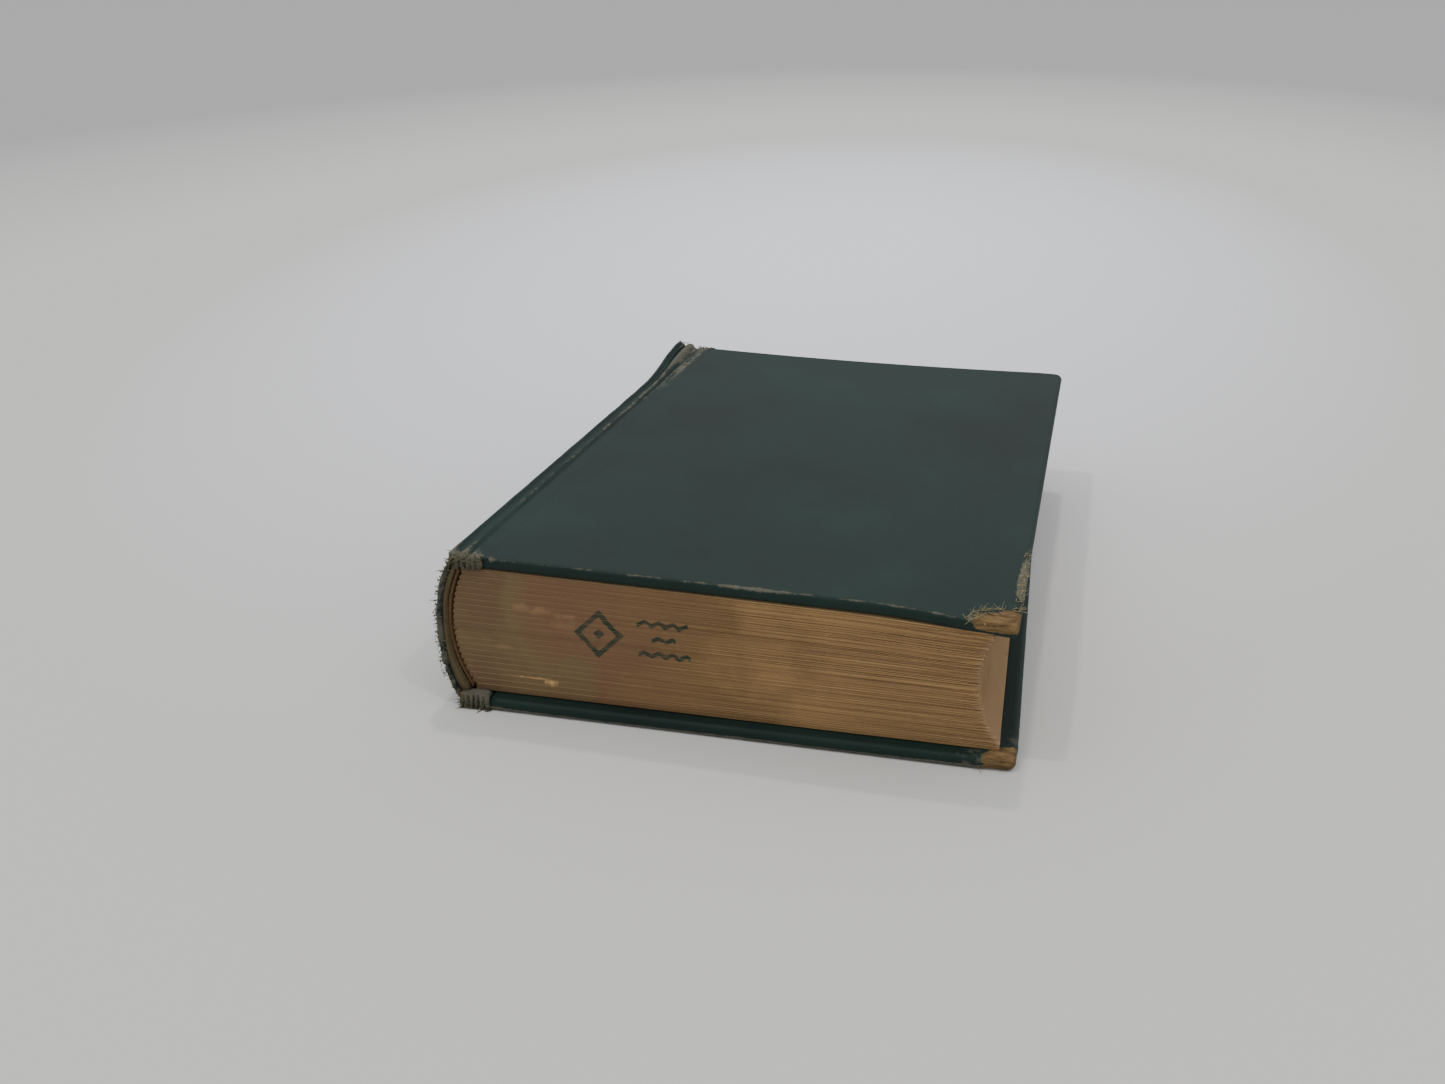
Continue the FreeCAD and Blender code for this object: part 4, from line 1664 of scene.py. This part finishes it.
    def make_threads(self, name: str, shares: tuple[float, float]) -> bpy.types.Object:
        """Frayed threads at both ends of one strip.

        Args:
            name: the piece's name.
            shares: where the strip starts and stops across the joint.

        Returns:
            The piece.
        """
        rng = random.Random(f"{SEED} {name}")
        top = BOOK_TOP + 1.2 * MM
        tubes = []
        for number in range(round(self.threads * (shares[1] - shares[0])) * 2):
            outward = 1 if number % 2 else -1
            share = rng.uniform(*shares)
            up = max(outward, 0) * COVER_HEIGHT - outward * rng.uniform(-0.4, 1.6) * MM
            height = self.outer + self.into * rng.uniform(-0.1, 2.0) * MM
            lean = Vector((rng.uniform(-1.0, 0.7), outward * rng.uniform(-0.1, 0.6),
                           rng.uniform(-0.4, 0.3))).normalized()
            path = thread_path(self.place(share, up, height), lean,
                               rng.uniform(0.6, 2.0) * MM, rng, 0.0)
            path = [Vector((p.x, p.y, min(max(p.z, FLOOR_GAP), top))) for p in path]
            tubes.append(tube(path, rng.uniform(0.06, 0.14) * MM))
        points, faces, _ = join_solids(tubes)
        return add_piece(name, points, faces, [self.finishes.thread])

    def build(self) -> None:
        """Build both strips of the joint with their threads."""
        side, half = self.side, "text_upper" if self.front else "text_lower"
        flyleaf, cover = f"{side}_flyleaf", f"{side}_cover"
        for end, shares, bodies, node in (
                ("cover_side", (0.0, self.split), (flyleaf, cover), f"{side}_joint_cloth"),
                ("spine_side", (self.split, 1.0), (half, flyleaf), None)):
            strip = self.make_strip(f"{side}_joint_{end}", shares, node)
            threads = self.make_threads(f"{side}_joint_threads_{end}", shares)
            near, far = (Vector(self.layer.at(-share * self.width, COVER_HEIGHT / 2, self.outer))
                         for share in shares)
            for piece in (strip, threads):
                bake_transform(piece)


# --- studio --------------------------------------------------------------------------------------

@dataclass
class Studio:
    """Table, lights and camera."""

    lens: float = 34.82
    azimuth: float = 13.06
    elevation: float = 22.53
    roll: float = -0.18
    from_fore_tail: tuple[float, float, float] = (-3.3 * MM, -243.3 * MM, 147.4 * MM)
    table_reach: float = 8.0
    rim: float = 1.5
    table_sides: int = 64

    def add_table(self) -> None:
        """A round pale tabletop whose rim sweeps up into a backdrop."""
        sides, rim = self.table_sides, self.rim
        run = [(reach, 0.0) for reach in (0.4, 1.5, 4.0, self.table_reach)]
        run += [(self.table_reach + rim * math.sin(a), rim - rim * math.cos(a))
                for a in (math.pi / 2 * step / 12 for step in range(1, 13))]
        points = [(0.0, 0.0, 0.0)]
        for reach, height in run:
            points += [(reach * math.cos(turn), reach * math.sin(turn), height)
                       for turn in (2 * math.pi * side / sides for side in range(sides))]
        faces = [(0, 1 + side, 1 + (side + 1) % sides) for side in range(sides)]
        for ring in range(len(run) - 1):
            for side in range(sides):
                a, b = 1 + ring * sides + side, 1 + ring * sides + (side + 1) % sides
                faces.append((a, a + sides, b + sides, b))
        mesh = bpy.data.meshes.new("table")
        mesh.from_pydata(points, [], faces)
        mesh.polygons.foreach_set("use_smooth", [True] * len(faces))
        mesh.materials.append(PaintedLightTableFinish("matt_table_painted_light").build())
        table = bpy.data.objects.new("table", mesh)
        bpy.context.scene.collection.objects.link(table)

    def add_lamp(self, name: str, towards: tuple[float, float, float], strength: float,
                 spread: float) -> None:
        """A distant ceiling lamp.

        Args:
            name: its name.
            towards: the way from the book to the lamp.
            strength: its light in watts per square metre.
            spread: how wide it looks from the book, in degrees.
        """
        light = bpy.data.lights.new(name, "SUN")
        light.energy, light.angle = strength, math.radians(spread)
        light.color = linear("#fffaf2")[:3]
        lamp = bpy.data.objects.new(name, light)
        lamp.location = towards
        lamp.rotation_euler = Vector(towards).to_track_quat("Z", "Y").to_euler()
        bpy.context.scene.collection.objects.link(lamp)

    def add_world(self) -> None:
        """Soft room light: a bright ceiling over dimmer walls."""
        world = bpy.data.worlds.new("soft_room")
        world.use_nodes = True
        tree = world.node_tree
        place = add_node(tree, "ShaderNodeTexCoord", {}).outputs["Generated"]
        axes = add_node(tree, "ShaderNodeSeparateXYZ", {"Vector": place}).outputs
        lift = add_node(tree, "ShaderNodeMapRange",
                        {"Value": axes["Z"], "From Min": 0.1, "From Max": 0.75})
        tone = add_node(tree, "ShaderNodeValToRGB", {"Fac": lift.outputs[0]})
        set_stops(tone, [(0.0, "#a3a9b3"), (1.0, "#f4f5f8")])
        background = tree.nodes["Background"]
        tree.links.new(tone.outputs["Color"], background.inputs["Color"])
        background.inputs["Strength"].default_value = 1.02
        bpy.context.scene.world = world

    def add_camera(self) -> None:
        """The camera, placed from the back cover's tail fore corner."""
        data = bpy.data.cameras.new("camera")
        data.lens = self.lens
        data.sensor_width = 36.0
        data.clip_start = 0.01
        camera = bpy.data.objects.new("camera", data)
        corner = Vector((BACK_HIGH.x, BACK_LOW.y, 0.0))
        camera.location = corner + Vector(self.from_fore_tail)
        camera.rotation_euler = (math.radians(90 - self.elevation), math.radians(self.roll),
                                 math.radians(self.azimuth))
        bpy.context.scene.collection.objects.link(camera)
        bpy.context.scene.camera = camera

    def build(self) -> None:
        """Build the table, lights, surroundings and camera."""
        self.add_table()
        self.add_lamp("lamp_left", (-0.39, -0.18, 1.0), 0.5, 2.5)
        self.add_lamp("lamp_behind", (-0.1, 0.49, 1.0), 0.6, 3.0)
        self.add_lamp("lamp_right", (0.54, -0.29, 1.0), 0.35, 3.0)
        self.add_world()
        self.add_camera()


def main() -> None:
    """Build the whole book and its studio, and report each piece."""
    logging.basicConfig(level=logging.INFO, format="%(message)s")
    finishes = Finishes()
    before = {thing.name for thing in bpy.data.objects}
    for front in (False, True):
        Cover(finishes, front).build()
        Joint(finishes, front).build()
    TextBlock(finishes).build()
    Spine(finishes).build()
    for piece in bpy.data.objects:
        if piece.type == "MESH" and piece.name not in before:
            log.info("%s: %d faces", piece.name, len(piece.data.polygons))
    Studio().build()


if __name__ == "__main__":
    main()
